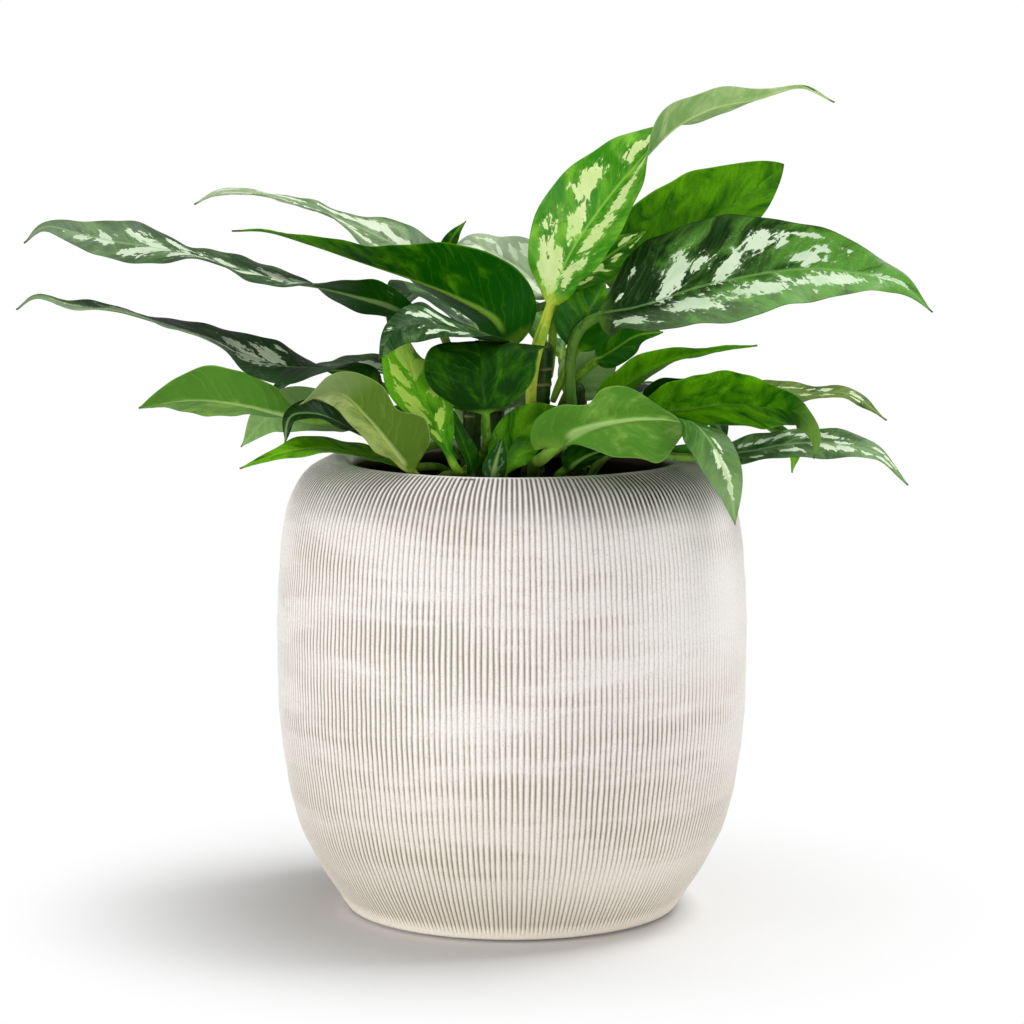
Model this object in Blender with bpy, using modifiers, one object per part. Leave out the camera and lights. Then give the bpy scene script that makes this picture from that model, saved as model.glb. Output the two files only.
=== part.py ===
"""Potted chinese evergreen: a ribbed ceramic pot, its soil, short canes and the leaves on their stalks.

Metres, +Z up. The middle of the pot's foot is the origin and the front of the plant faces -Y.
Lengths in the tables below are millimetres.
"""
import math

import bmesh
import bpy
import numpy as np

MM = 0.001

# pot
POT_SEGMENTS = 72
POT_FLOOR = 9.0
POT_FOOT_RADIUS = 76.5
POT_INNER_FLOOR_RADIUS = 70.0
POT_OUTER = (
    (88.9, 211.3),
    (95.8, 207.2),
    (101.2, 200.0),
    (104.9, 190.5),
    (107.3, 178.0),
    (109.1, 160.0),
    (110.0, 136.0),
    (110.1, 114.0),
    (109.2, 92.0),
    (107.1, 72.0),
    (103.8, 54.0),
    (99.5, 39.0),
    (93.6, 26.5),
    (87.0, 15.5),
    (81.0, 6.5),
)
POT_LIP = ((76.0, 205.5), (75.9, 209.4), (78.6, 212.4), (83.4, 213.3))
POT_INNER = (
    (80.5, 203.2),
    (90.0, 202.0),
    (96.0, 195.5),
    (99.6, 186.0),
    (101.6, 175.0),
    (103.3, 158.0),
    (104.0, 125.0),
    (102.6, 90.0),
    (98.0, 57.0),
    (89.0, 33.0),
    (78.0, 17.0),
)

# soil
SOIL_TOP = 190.0
SOIL_GAP = 0.3
SOIL_SIDE_GAP = 0.42

# canes: foot x, y; top x, y, z; radius at the foot; radius at the top
CANES = {
    "a": ((-20, -10), (-18, -4, 248), 5, 4),
    "b": ((8, -4), (15, -2, 262), 5.5, 4.5),
    "c": ((30, -9), (30, -6, 244), 5, 4),
    "d": ((-8, 26), (-8, 24, 278), 5, 4),
    "e": ((30, 22), (32, 24, 268), 5, 4),
}
CANE_SIDES = 10
CANE_STEPS = 4

# leaf build
LEAF_THICK = 0.9
STALK_START_LIFT = 0.9
STALK_START_LEAN = 0.35
SEAT_GAP = 0.3
STALK_STATIONS = 6
BLADE_STATIONS = 13
PATH_STEPS = 120
ROLL_SMOOTHING = 6
FLAT_BY = 0.12
NECK_BY = 0.05
LAST_STATION = 0.97
LEAST_HALF_WIDTH = 0.5
MIDRIB_ROUNDING = 0.1

# One row for each leaf, from the stalk to the tip:
#   cane, height on the cane, stalk radius, side of the cane the stalk leaves from (degrees or None),
#   blade width, heading in degrees, place of the widest point, sharpness of the tip,
#   fold of the two halves in degrees at the base and at the tip,
#   midrib points, roll about the midrib in degrees at places along it.
LEAVES = {
    "leaf_01": dict(
        cane="a", height=240, stalk=2, side=None,
        width=50, heading=186, peak=0.45, sharp=1.15, fold=(4, 4),
        midrib=((-40, -8, 278), (-57, -10, 285), (-70, -13, 289), (-88, -17, 294),
            (-106, -21, 297), (-124, -25, 302), (-142, -29, 308), (-160, -32, 312),
            (-179, -35, 315), (-196, -37, 319), (-212, -39, 322), (-221, -39, 315)),
        rolls=((0, 60), (0.09, 50), (0.16, 30), (0.26, 13), (0.32, -6), (0.42, -10), (0.54, -1),
            (0.6, -5), (0.7, -22), (0.78, -40), (0.86, -32), (1, -25)),
    ),
    "leaf_02": dict(
        cane="a", height=225, stalk=2, side=None,
        width=42, heading=194, peak=0.34, sharp=1.15, fold=(4, 4),
        midrib=((-61, -14, 248), (-73, -18, 255), (-88, -23, 257), (-104, -28, 258),
            (-119, -33, 263), (-135, -38, 271), (-155, -43, 278), (-177, -48, 285),
            (-199, -52, 288), (-214, -54, 292), (-223, -54, 286)),
        rolls=((0, 45), (0.08, 22), (0.165, 3), (0.22, -16), (0.29, -27), (0.385, -23), (0.48, -8),
            (0.6, -3), (0.72, 0), (0.85, -14), (1, -20)),
    ),
    "leaf_03": dict(
        cane="d", height=262, stalk=2, side=None,
        width=35, heading=180, peak=0.37, sharp=1.15, fold=(4, 4),
        midrib=((-16, 35, 296), (-38, 38, 302), (-58, 40, 311), (-80, 40, 321), (-100, 38, 329),
            (-122, 36, 334), (-140, 34, 334), (-150, 33, 329)),
        rolls=((0, -40), (0.35, -28), (0.5, -4), (0.75, -4), (0.9, -15), (1, -25)),
    ),
    "leaf_04": dict(
        cane="b", height=258, stalk=2, side=None,
        width=58, heading=180, peak=0.28, sharp=1.4, fold=(36, 4),
        midrib=((1, 8, 264), (-8, 6, 277), (-26, 2, 288), (-47, -2, 297), (-70, -5, 305),
            (-93, -8, 313), (-114, -10, 319), (-129, -11, 319)),
        rolls=((0, 56), (0.15, 50), (0.32, 34), (0.45, 20), (0.6, 12), (0.85, 10), (1, 10)),
    ),
    "leaf_05": dict(
        cane="d", height=274, stalk=2, side=None,
        width=32, heading=180, peak=0.37, sharp=1.15, fold=(14, 6),
        midrib=((17, 22, 286), (4, 25, 299), (-9, 27, 306), (-19, 28, 311), (-28, 28, 309)),
        rolls=((0, -50), (1, -40)),
    ),
    "leaf_06": dict(
        cane="a", height=236, stalk=2, side=20,
        width=46, heading=215, peak=0.46, sharp=1.15, fold=(14, 6),
        midrib=((2, -15, 266), (-13, -26, 271), (-28, -40, 276), (-42, -50, 279), (-53, -57, 276),
            (-60, -62, 264)),
        rolls=((0, -8), (0.2, -8), (0.4, -12), (0.6, -19), (0.85, -24), (1, -30)),
    ),
    "leaf_07": dict(
        cane="a", height=206, stalk=2, side=-60,
        width=53, heading=270, peak=0.45, sharp=0.8, fold=(10, 4),
        midrib=((-12, -54, 239), (-13, -54, 251), (-14, -51, 261), (-15, -45, 268),
            (-16, -36, 270), (-17, -27, 267)),
        rolls=((0, 0), (1, 0)),
    ),
    "leaf_08": dict(
        cane="b", height=232, stalk=3.2, side=-110,
        width=48, heading=0, peak=0.23, sharp=1.5, fold=(34, 8),
        midrib=((18, -8, 285), (26, -12, 307), (41, -16, 330), (59, -18, 352), (74, -18, 367),
            (92, -18, 376), (112, -18, 380), (132, -20, 385), (147, -20, 378)),
        rolls=((0, 64), (0.3, 60), (0.46, 28), (0.55, -16), (0.63, -40), (0.75, -36), (1, -20)),
    ),
    "leaf_09": dict(
        cane="a", height=205, stalk=2, side=-90,
        width=42, heading=200, peak=0.6, sharp=0.9, fold=(14, 6),
        midrib=((-27, -46, 216), (-35, -44, 233), (-43, -40, 249), (-48, -34, 263),
            (-50, -22, 273)),
        rolls=((0, -60), (1, -60)),
    ),
    "leaf_10": dict(
        cane="a", height=200, stalk=2, side=-135,
        width=34, heading=190, peak=0.42, sharp=1.15, fold=(14, 6),
        midrib=((-45, -58, 213), (-54, -64, 226), (-65, -68, 240), (-76, -70, 250),
            (-87, -72, 249), (-95, -72, 245)),
        rolls=((0, 50), (0.7, 50), (1, 10)),
    ),
    "leaf_11": dict(
        cane="a", height=214, stalk=2, side=-150,
        width=24, heading=190, peak=0.37, sharp=1.15, fold=(14, 6),
        midrib=((-56, -37, 222), (-73, -43, 231), (-89, -47, 238), (-100, -49, 237),
            (-103, -49, 225)),
        rolls=((0, 10), (1, -40)),
    ),
    "leaf_12": dict(
        cane="a", height=202, stalk=2, side=180,
        width=23, heading=200, peak=0.37, sharp=1.15, fold=(14, 6),
        midrib=((-50, -31, 213), (-68, -42, 219), (-86, -52, 223), (-103, -62, 222),
            (-122, -70, 216)),
        rolls=((0, -10), (1, -22)),
    ),
    "leaf_13": dict(
        cane="d", height=222, stalk=2, side=None,
        width=42, heading=190, peak=0.52, sharp=1.15, fold=(18, 12),
        midrib=((-96, -17, 233), (-108, -20, 236), (-122, -24, 240), (-142, -28, 243),
            (-158, -30, 242), (-171, -30, 239)),
        rolls=((0, 40), (1, 37)),
    ),
    "leaf_14": dict(
        cane="d", height=212, stalk=2, side=None,
        width=26, heading=180, peak=0.37, sharp=1.15, fold=(14, 6),
        midrib=((-75, 10, 226), (-94, 10, 233), (-113, 8, 231), (-127, 5, 217)),
        rolls=((0, -40), (1, -70)),
    ),
    "leaf_15": dict(
        cane="c", height=226, stalk=2.6, side=-100,
        width=64, heading=-12, peak=0.3, sharp=1.3, fold=(30, 4),
        midrib=((40, -22, 280), (63, -30, 287), (85, -38, 295), (105, -44, 300), (130, -50, 304),
            (152, -54, 303), (174, -56, 298), (189, -56, 285)),
        rolls=((0, 42), (0.2, 44), (0.4, 53), (0.7, 52), (1, 40)),
    ),
    "leaf_16": dict(
        cane="e", height=262, stalk=2, side=None,
        width=58, heading=10, peak=0.44, sharp=0.8, fold=(6, 6),
        midrib=((43, 15, 295), (60, 22, 304), (84, 28, 317), (107, 31, 332), (128, 32, 348)),
        rolls=((0, -65), (1, -60)),
    ),
    "leaf_17": dict(
        cane="b", height=250, stalk=2, side=60,
        width=26, heading=10, peak=0.37, sharp=1.15, fold=(14, 6),
        midrib=((27, 2, 290), (38, 3, 301), (50, 4, 310), (63, 6, 318)),
        rolls=((0, 40), (1, 40)),
    ),
    "leaf_18": dict(
        cane="b", height=201, stalk=2.8, side=-80,
        width=47, heading=-25, peak=0.38, sharp=1, fold=(-18, 0),
        midrib=((21, -58, 225), (26, -62, 231), (35, -67, 235), (46, -72, 238), (59, -78, 240),
            (71, -82, 240), (80, -84, 238), (87, -87, 231), (93, -90, 220), (97, -91, 207),
            (99, -89, 193)),
        rolls=((0, -50), (0.4, -54), (0.58, 0), (0.76, 45), (1, 55)),
    ),
    "leaf_19": dict(
        cane="c", height=210, stalk=2, side=-60,
        width=35, heading=-14, peak=0.37, sharp=1, fold=(4, 4),
        midrib=((58, -28, 237), (80, -34, 240), (99, -42, 243), (114, -55, 243), (126, -68, 242),
            (132, -76, 237), (135, -81, 230), (134, -84, 222)),
        rolls=((0, -45), (0.6, -45), (0.8, -66), (1, -80)),
    ),
    "leaf_20": dict(
        cane="e", height=225, stalk=2, side=None,
        width=26, heading=-4, peak=0.37, sharp=1.15, fold=(4, 4),
        midrib=((83, -2, 239), (108, -4, 243), (133, -6, 243), (156, -8, 243), (174, -8, 231)),
        rolls=((0, 12), (1, 20)),
    ),
    "leaf_21": dict(
        cane="c", height=204, stalk=2, side=None,
        width=24, heading=-10, peak=0.37, sharp=1.15, fold=(4, 4),
        midrib=((85, -50, 219), (107, -56, 222), (127, -60, 226), (146, -64, 226), (164, -66, 222),
            (178, -66, 208)),
        rolls=((0, 25), (1, 35)),
    ),
    "leaf_22": dict(
        cane="e", height=206, stalk=2, side=-20,
        width=18, heading=-10, peak=0.37, sharp=1.15, fold=(14, 6),
        midrib=((104, -6, 232), (120, -10, 228), (130, -12, 219), (130, -12, 207)),
        rolls=((0, 0), (1, 30)),
    ),
    "leaf_23": dict(
        cane="c", height=204, stalk=2, side=10,
        width=20, heading=0, peak=0.37, sharp=1.15, fold=(14, 6),
        midrib=((63, -22, 220), (86, -25, 218), (107, -28, 219), (127, -30, 222)),
        rolls=((0, 0), (1, 0)),
    ),
    "leaf_24": dict(
        cane="c", height=228, stalk=2, side=-40,
        width=24, heading=-8, peak=0.37, sharp=1.15, fold=(14, 6),
        midrib=((38, -14, 238), (54, -20, 251), (70, -26, 260), (88, -30, 265), (112, -32, 268)),
        rolls=((0, -40), (1, -10)),
    ),
    "leaf_25": dict(
        cane="e", height=218, stalk=2, side=-70,
        width=22, heading=-4, peak=0.37, sharp=1.15, fold=(14, 6),
        midrib=((60, -12, 239), (74, -16, 244), (88, -19, 248), (98, -20, 248)),
        rolls=((0, -40), (1, -40)),
    ),
    "leaf_26": dict(
        cane="b", height=196, stalk=2, side=-110,
        width=24, heading=110, peak=0.37, sharp=1.15, fold=(14, 6),
        midrib=((-4, -42, 210), (-3, -42, 217), (1, -41, 225), (7, -38, 232), (14, -34, 237),
            (21, -30, 240)),
        rolls=((0, 0), (1, 0)),
    ),
    "leaf_27": dict(
        cane="c", height=200, stalk=2, side=-120,
        width=24, heading=-20, peak=0.37, sharp=1.15, fold=(14, 6),
        midrib=((24, -36, 211), (35, -39, 219), (50, -41, 223), (66, -42, 223)),
        rolls=((0, -30), (1, -30)),
    ),
    "leaf_28": dict(
        cane="b", height=240, stalk=2, side=-30,
        width=29, heading=0, peak=0.37, sharp=1.15, fold=(14, 6),
        midrib=((29, -12, 264), (33, -13, 275), (38, -14, 287), (43, -15, 296)),
        rolls=((0, 70), (1, 70)),
    ),
    "leaf_29": dict(
        cane="b", height=224, stalk=2, side=20,
        width=25, heading=0, peak=0.37, sharp=1.15, fold=(14, 6),
        midrib=((39, -3, 258), (48, -5, 264), (58, -5, 270), (70, -7, 272)),
        rolls=((0, 40), (1, 40)),
    ),
    "leaf_30": dict(
        cane="c", height=230, stalk=2, side=60,
        width=27, heading=15, peak=0.37, sharp=1.15, fold=(14, 6),
        midrib=((26, 9, 240), (31, 10, 246), (37, 11, 253), (45, 12, 260), (52, 12, 265)),
        rolls=((0, 60), (1, 60)),
    ),
    "leaf_31": dict(
        cane="a", height=196, stalk=1.3, side=-85,
        width=13, heading=200, peak=0.37, sharp=1.15, fold=(14, 6),
        midrib=((-18, -38, 208), (-20, -36, 217), (-24, -33, 227), (-29, -28, 237),
            (-33, -23, 245)),
        rolls=((0, -55), (1, -55)),
    ),
    "leaf_32": dict(
        cane="b", height=197, stalk=1.4, side=-140,
        width=11, heading=270, peak=0.37, sharp=1.15, fold=(14, 6),
        midrib=((-9, -60, 206), (-8, -60, 214), (-6, -59, 222), (-4, -58, 229)),
        rolls=((0, 0), (1, 0)),
    ),
    "leaf_33": dict(
        cane="e", height=250, stalk=2, side=None,
        width=52, heading=35, peak=0.37, sharp=1.15, fold=(14, 6),
        midrib=((34, 36, 262), (56, 54, 277), (84, 72, 289), (112, 88, 296), (138, 100, 290)),
        rolls=((0, 0), (1, 0)),
    ),
    "leaf_34": dict(
        cane="d", height=230, stalk=2, side=None,
        width=44, heading=150, peak=0.37, sharp=1.15, fold=(14, 6),
        midrib=((-28, 36, 236), (-52, 50, 246), (-80, 64, 250), (-104, 76, 244), (-122, 84, 230)),
        rolls=((0, 0), (1, 0)),
    ),
    "leaf_35": dict(
        cane="e", height=240, stalk=2, side=None,
        width=50, heading=88, peak=0.37, sharp=1.15, fold=(14, 6),
        midrib=((24, 48, 256), (26, 72, 272), (26, 98, 276), (24, 122, 266), (20, 136, 248)),
        rolls=((0, 0), (1, 0)),
    ),
    "leaf_36": dict(
        cane="d", height=254, stalk=2, side=None,
        width=50, heading=120, peak=0.37, sharp=1.15, fold=(14, 6),
        midrib=((-16, 44, 268), (-26, 66, 282), (-40, 88, 286), (-54, 108, 278), (-62, 118, 264)),
        rolls=((0, 0), (1, 0)),
    ),
    "leaf_37": dict(
        cane="e", height=222, stalk=2, side=None,
        width=44, heading=42, peak=0.37, sharp=1.15, fold=(14, 6),
        midrib=((46, 44, 232), (66, 62, 238), (86, 82, 234), (100, 98, 220), (106, 106, 204)),
        rolls=((0, 0), (1, 0)),
    ),
    "leaf_38": dict(
        cane="d", height=214, stalk=2, side=None,
        width=44, heading=95, peak=0.37, sharp=1.15, fold=(14, 6),
        midrib=((-6, 52, 222), (-8, 76, 232), (-12, 98, 230), (-16, 116, 216), (-18, 124, 200)),
        rolls=((0, 0), (1, 0)),
    ),
    "leaf_39": dict(
        cane="d", height=276, stalk=1.3, side=140,
        width=9, heading=70, peak=0.37, sharp=1.15, fold=(14, 6),
        midrib=((-30, 47, 298), (-31, 50, 306), (-28, 52, 313), (-22, 54, 320)),
        rolls=((0, 0), (1, 0)),
    ),
}

COLOURS = {
    "pot": ((0.74, 0.70, 0.65), 0.85),
    "soil": ((0.045, 0.03, 0.02), 0.95),
    "cane": ((0.16, 0.17, 0.06), 0.6),
    "leaf": ((0.07, 0.22, 0.05), 0.4),
}

OBJECT_NAME = "potted_chinese_evergreen"


def clear_scene():
    for item in list(bpy.data.objects):
        bpy.data.objects.remove(item, do_unlink=True)


def material(name, kind):
    colour, roughness = COLOURS[kind]
    made = bpy.data.materials.new(name)
    made.use_nodes = True
    shader = made.node_tree.nodes["Principled BSDF"]
    shader.inputs["Base Color"].default_value = (*colour, 1.0)
    shader.inputs["Roughness"].default_value = roughness
    shader.inputs["Metallic"].default_value = 0.0
    return made


def place(bm, name, kind, collection):
    bmesh.ops.recalc_face_normals(bm, faces=bm.faces)
    mesh = bpy.data.meshes.new(name)
    bm.to_mesh(mesh)
    bm.free()
    made = bpy.data.objects.new(name, mesh)
    made.data.materials.append(material(name, kind))
    collection.objects.link(made)
    return made


def turned(name, profile, kind, collection):
    """A closed solid turned about Z from a profile that starts and ends on the axis."""
    bm = bmesh.new()
    points = [bm.verts.new((r * MM, 0.0, z * MM)) for r, z in profile]
    for a, b in zip(points, points[1:]):
        bm.edges.new((a, b))
    mesh = bpy.data.meshes.new(name)
    bm.to_mesh(mesh)
    bm.free()
    made = bpy.data.objects.new(name, mesh)
    made.data.materials.append(material(name, kind))
    collection.objects.link(made)
    screw = made.modifiers.new("turn", "SCREW")
    screw.axis = "Z"
    screw.angle = math.tau
    screw.steps = POT_SEGMENTS
    screw.render_steps = POT_SEGMENTS
    screw.use_merge_vertices = True
    screw.merge_threshold = 1e-5
    screw.use_normal_calculate = True
    return made


def make_pot(collection):
    profile = [(0.0, POT_FLOOR)]
    profile += [(r, z) for r, z in reversed(POT_INNER + ((POT_INNER_FLOOR_RADIUS, POT_FLOOR),))]
    profile += list(POT_LIP)
    profile += list(POT_OUTER)
    profile += [(POT_FOOT_RADIUS, 0.0), (0.0, 0.0)]
    return turned("pot", profile, "pot", collection)


def make_soil(collection):
    inside = [(r, z) for r, z in POT_INNER if z < SOIL_TOP]
    above = [(r, z) for r, z in POT_INNER if z >= SOIL_TOP][-1]
    share = (SOIL_TOP - inside[0][1]) / (above[1] - inside[0][1])
    edge = inside[0][0] + (above[0] - inside[0][0]) * share
    profile = [(0.0, SOIL_TOP), (edge - SOIL_SIDE_GAP, SOIL_TOP)]
    profile += [(r - SOIL_SIDE_GAP, z) for r, z in inside]
    profile += [(POT_INNER_FLOOR_RADIUS - SOIL_GAP, POT_FLOOR + SOIL_GAP), (0.0, POT_FLOOR + SOIL_GAP)]
    return turned("soil", profile, "soil", collection)


def loft(rings, tip, name, kind, collection):
    """A closed skin over rings of points, closed flat at the start and to a point or flat at the end.

    Both faces of a thin blade are split along matching diagonals, so a twist never makes them cross.
    """
    bm = bmesh.new()
    made = [[bm.verts.new(tuple(float(c) * MM for c in p)) for p in ring] for ring in rings]
    count = len(rings[0])
    for a, b in zip(made, made[1:]):
        for k in range(count):
            n = (k + 1) % count
            if k < count // 2:
                bm.faces.new((a[k], a[n], b[n]))
                bm.faces.new((a[k], b[n], b[k]))
            else:
                bm.faces.new((a[k], a[n], b[k]))
                bm.faces.new((a[n], b[n], b[k]))
    bm.faces.new(made[0])
    if tip is None:
        bm.faces.new(made[-1])
    else:
        end = bm.verts.new(tuple(float(c) * MM for c in tip))
        for k in range(count):
            bm.faces.new((made[-1][k], made[-1][(k + 1) % count], end))
    return place(bm, name, kind, collection)


def cane_point(key, height):
    foot, top, radius, top_radius = CANES[key]
    share = (height - SOIL_TOP) / (top[2] - SOIL_TOP)
    x = foot[0] + (top[0] - foot[0]) * share
    y = foot[1] + (top[1] - foot[1]) * share
    return np.array([x, y, height]), radius + (top_radius - radius) * share


def make_cane(key, collection):
    top = CANES[key][1]
    rings = []
    for step in range(CANE_STEPS + 1):
        height = SOIL_TOP + SEAT_GAP + (top[2] - SOIL_TOP - SEAT_GAP) * step / CANE_STEPS
        centre, radius = cane_point(key, height)
        turns = np.arange(CANE_SIDES) * math.tau / CANE_SIDES
        ring = [centre + radius * np.array([math.cos(t), math.sin(t), 0.0]) for t in turns]
        rings.append(ring)
    return loft(rings, None, "cane_" + key, "cane", collection)


def smooth_path(points, steps):
    """A centripetal Catmull-Rom curve through the points, in even steps of length."""
    known = np.array(points, float)
    known = np.vstack([2 * known[0] - known[1], known, 2 * known[-1] - known[-2]])
    knots = np.concatenate([[0.0], np.cumsum(np.sqrt(np.linalg.norm(np.diff(known, axis=0), axis=1)))])
    path = []
    for i in range(1, len(known) - 2):
        p0, p1, p2, p3 = known[i - 1:i + 3]
        t0, t1, t2, t3 = knots[i - 1:i + 3]
        for x in np.linspace(t1, t2, 30, endpoint=False):
            a1 = (t1 - x) / (t1 - t0) * p0 + (x - t0) / (t1 - t0) * p1
            a2 = (t2 - x) / (t2 - t1) * p1 + (x - t1) / (t2 - t1) * p2
            a3 = (t3 - x) / (t3 - t2) * p2 + (x - t2) / (t3 - t2) * p3
            b1 = (t2 - x) / (t2 - t0) * a1 + (x - t0) / (t2 - t0) * a2
            b2 = (t3 - x) / (t3 - t1) * a2 + (x - t1) / (t3 - t1) * a3
            path.append((t2 - x) / (t2 - t1) * b1 + (x - t1) / (t2 - t1) * b2)
    path.append(known[-2])
    path = np.array(path)
    run = np.concatenate([[0.0], np.cumsum(np.linalg.norm(np.diff(path, axis=0), axis=1))])
    even = np.linspace(0.0, run[-1], steps + 1)
    return np.stack([np.interp(even, run, path[:, k]) for k in range(3)], -1)


def stalk_path(row, blade):
    """The stalk's centre line, from beside its cane to the base of the blade."""
    centre, radius = cane_point(row["cane"], row["height"])
    base = blade[0]
    along = blade[4] - blade[0]
    along = along / np.linalg.norm(along)
    if row["side"] is None:
        out = np.array([base[0] - centre[0], base[1] - centre[1], 0.0])
        out = out / np.linalg.norm(out)
    else:
        out = np.array([math.cos(math.radians(row["side"])), math.sin(math.radians(row["side"])), 0.0])
    start = centre + out * (radius + row["stalk"] + SEAT_GAP)
    rise = np.array([0.0, 0.0, STALK_START_LIFT]) + out * STALK_START_LEAN
    rise = rise / np.linalg.norm(rise)
    reach = np.linalg.norm(base - start) * 0.38
    k = np.linspace(0.0, 1.0, PATH_STEPS // 2 + 1)[:, None]
    a, b, c, d = start, start + rise * reach, base - along * reach, base
    return (1 - k) ** 3 * a + 3 * (1 - k) ** 2 * k * b + 3 * (1 - k) * k * k * c + k ** 3 * d


def blade_width(row, u):
    """Width of the blade at a share u of its length."""
    b = row["sharp"]
    a = b * row["peak"] / (1 - row["peak"])
    most = row["peak"] ** a * (1 - row["peak"]) ** b
    return row["width"] * u ** a * (1 - u) ** b / most


def leaf_sections(row):
    """Centre, across and up directions, blade share and path place for every step of a leaf."""
    blade = smooth_path(row["midrib"], PATH_STEPS)
    stalk = stalk_path(row, blade)
    path = np.vstack([stalk[:-1], blade])
    share = np.concatenate([np.zeros(len(stalk) - 1), np.linspace(0.0, 1.0, PATH_STEPS + 1)])
    ahead = np.gradient(path, axis=0)
    ahead = ahead / np.linalg.norm(ahead, axis=1)[:, None]
    turn = math.radians(row["heading"])
    level = np.array([-math.sin(turn), math.cos(turn), 0.0])
    across = level - ahead * (ahead @ level)[:, None]
    across = across / np.linalg.norm(across, axis=1)[:, None]
    up = np.cross(ahead, across)
    roll = np.interp(share, [u for u, _ in row["rolls"]], [r for _, r in row["rolls"]])
    grow = np.linspace(0.0, 1.0, len(stalk) - 1)
    roll[:len(grow)] = roll[:len(grow)] * grow
    window = np.ones(2 * ROLL_SMOOTHING + 1) / (2 * ROLL_SMOOTHING + 1)
    roll = np.convolve(np.pad(roll, ROLL_SMOOTHING, mode="edge"), window, "valid")
    roll = np.radians(roll)[:, None]
    side = across * np.cos(roll) + up * np.sin(roll)
    top = np.cross(ahead, side)
    return path, side, top, share, len(stalk) - 1


V_FLAT = (-1.0, -0.5, 0.0, 0.5, 1.0, 0.5, 0.0, -0.5)
V_ROUND = (-1.0, -0.7071, 0.0, 0.7071, 1.0, 0.7071, 0.0, -0.7071)
H_ROUND = (0.0, 0.7071, 1.0, 0.7071, 0.0, -0.7071, -1.0, -0.7071)
H_FLAT = (0.0, 1.0, 1.0, 1.0, 0.0, -1.0, -1.0, -1.0)


def make_leaf(name, row, collection):
    path, side, top, share, first = leaf_sections(row)
    picks = list(np.linspace(0, first, STALK_STATIONS, endpoint=False).round().astype(int))
    blade_picks = np.linspace(0.0, LAST_STATION, BLADE_STATIONS)
    picks += [first + int(round(u * PATH_STEPS)) for u in blade_picks]
    rings = []
    for i in picks:
        u = share[i]
        flat = min(1.0, u / FLAT_BY)
        half = max(row["stalk"] * (1 - 0.2 * min(1.0, u / NECK_BY)), blade_width(row, u) / 2)
        if u > 0.5:
            half = max(LEAST_HALF_WIDTH, blade_width(row, u) / 2)
        thick = row["stalk"] * (1 - flat) + LEAF_THICK / 2 * flat
        fold = math.radians(np.interp(u, [0.0, 1.0], row["fold"])) * flat
        ring = []
        for vf, vr, hr, hf in zip(V_FLAT, V_ROUND, H_ROUND, H_FLAT):
            v = vr * (1 - flat) + vf * flat
            h = (hr * (1 - flat) + hf * flat) * thick
            lift = (math.hypot(v, MIDRIB_ROUNDING) - MIDRIB_ROUNDING) * half * math.sin(fold)
            ring.append(path[i] + side[i] * (half * v * math.cos(fold)) + top[i] * (h + lift))
        rings.append(ring)
    return loft(rings, path[-1], name, "leaf", collection)


def build():
    clear_scene()
    collection = bpy.data.collections.new(OBJECT_NAME)
    bpy.context.scene.collection.children.link(collection)
    make_pot(collection)
    make_soil(collection)
    for key in CANES:
        make_cane(key, collection)
    for name, row in LEAVES.items():
        make_leaf(name, row, collection)


build()
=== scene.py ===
"""Potted chinese evergreen: the finished leaves, stalks, canes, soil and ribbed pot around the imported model.

Metres, +Z up, the middle of the pot's foot at the origin and the front of the plant towards -Y.
Lengths in the tables are millimetres and are turned into metres as each piece is made.
"""
import math

import bmesh
import bpy
import numpy as np
from mathutils import Matrix, Vector, noise


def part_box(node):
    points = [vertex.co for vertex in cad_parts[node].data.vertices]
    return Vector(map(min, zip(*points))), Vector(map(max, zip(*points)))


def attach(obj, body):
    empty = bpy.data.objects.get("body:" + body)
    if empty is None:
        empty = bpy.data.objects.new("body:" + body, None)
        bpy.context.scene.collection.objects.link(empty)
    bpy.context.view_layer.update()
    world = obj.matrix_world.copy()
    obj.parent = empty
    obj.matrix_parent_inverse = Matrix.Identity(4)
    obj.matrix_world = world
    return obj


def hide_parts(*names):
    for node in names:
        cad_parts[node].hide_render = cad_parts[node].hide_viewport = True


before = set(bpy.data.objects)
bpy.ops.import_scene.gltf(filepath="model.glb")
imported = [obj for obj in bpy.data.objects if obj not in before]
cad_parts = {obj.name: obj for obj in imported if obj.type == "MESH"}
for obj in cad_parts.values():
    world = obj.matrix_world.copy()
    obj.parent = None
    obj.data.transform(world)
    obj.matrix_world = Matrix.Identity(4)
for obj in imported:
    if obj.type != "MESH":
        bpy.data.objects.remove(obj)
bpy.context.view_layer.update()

MM = 0.001

# canes: foot x, y; top x, y, z; radius at the foot; radius at the top
CANES = {
    "a": ((-20, -10), (-18, -4, 248), 5, 4),
    "b": ((8, -4), (15, -2, 262), 5.5, 4.5),
    "c": ((30, -9), (30, -6, 244), 5, 4),
    "d": ((-8, 26), (-8, 24, 278), 5, 4),
    "e": ((30, 22), (32, 24, 268), 5, 4),
}

CANE_STEPS = 90
CANE_RING = 24
DOME_FROM = 0.94
JOINTS = 14

# leaf build: FLAT_BY and STALK_BY are shares of the blade, from its base
LEAF_THICK = 0.8
LEAST_HALF_WIDTH = 0.25
CREASE_WIDTH = 0.9
KEEL_WIDTH = 1.6
VEIN_HEIGHT = 0.07
VEIN_PITCH = 6.0
SWEEP = 0.8
STALK_START_LIFT = 0.9
STALK_START_LEAN = 0.35
STALK_PULL = 0.38
SEAT_GAP = 0.3
CURVE_POINTS = 30
PATH_STEPS = 120
STALK_STEPS = 30
ROLL_SMOOTHING = 6
VALUE_SMOOTHING = 4
RING = 56
FLAT_BY = 0.12
STALK_BY = 0.05
WITHERED = (74, 54, 34)
SAME_POINT = 2e-6

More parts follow.
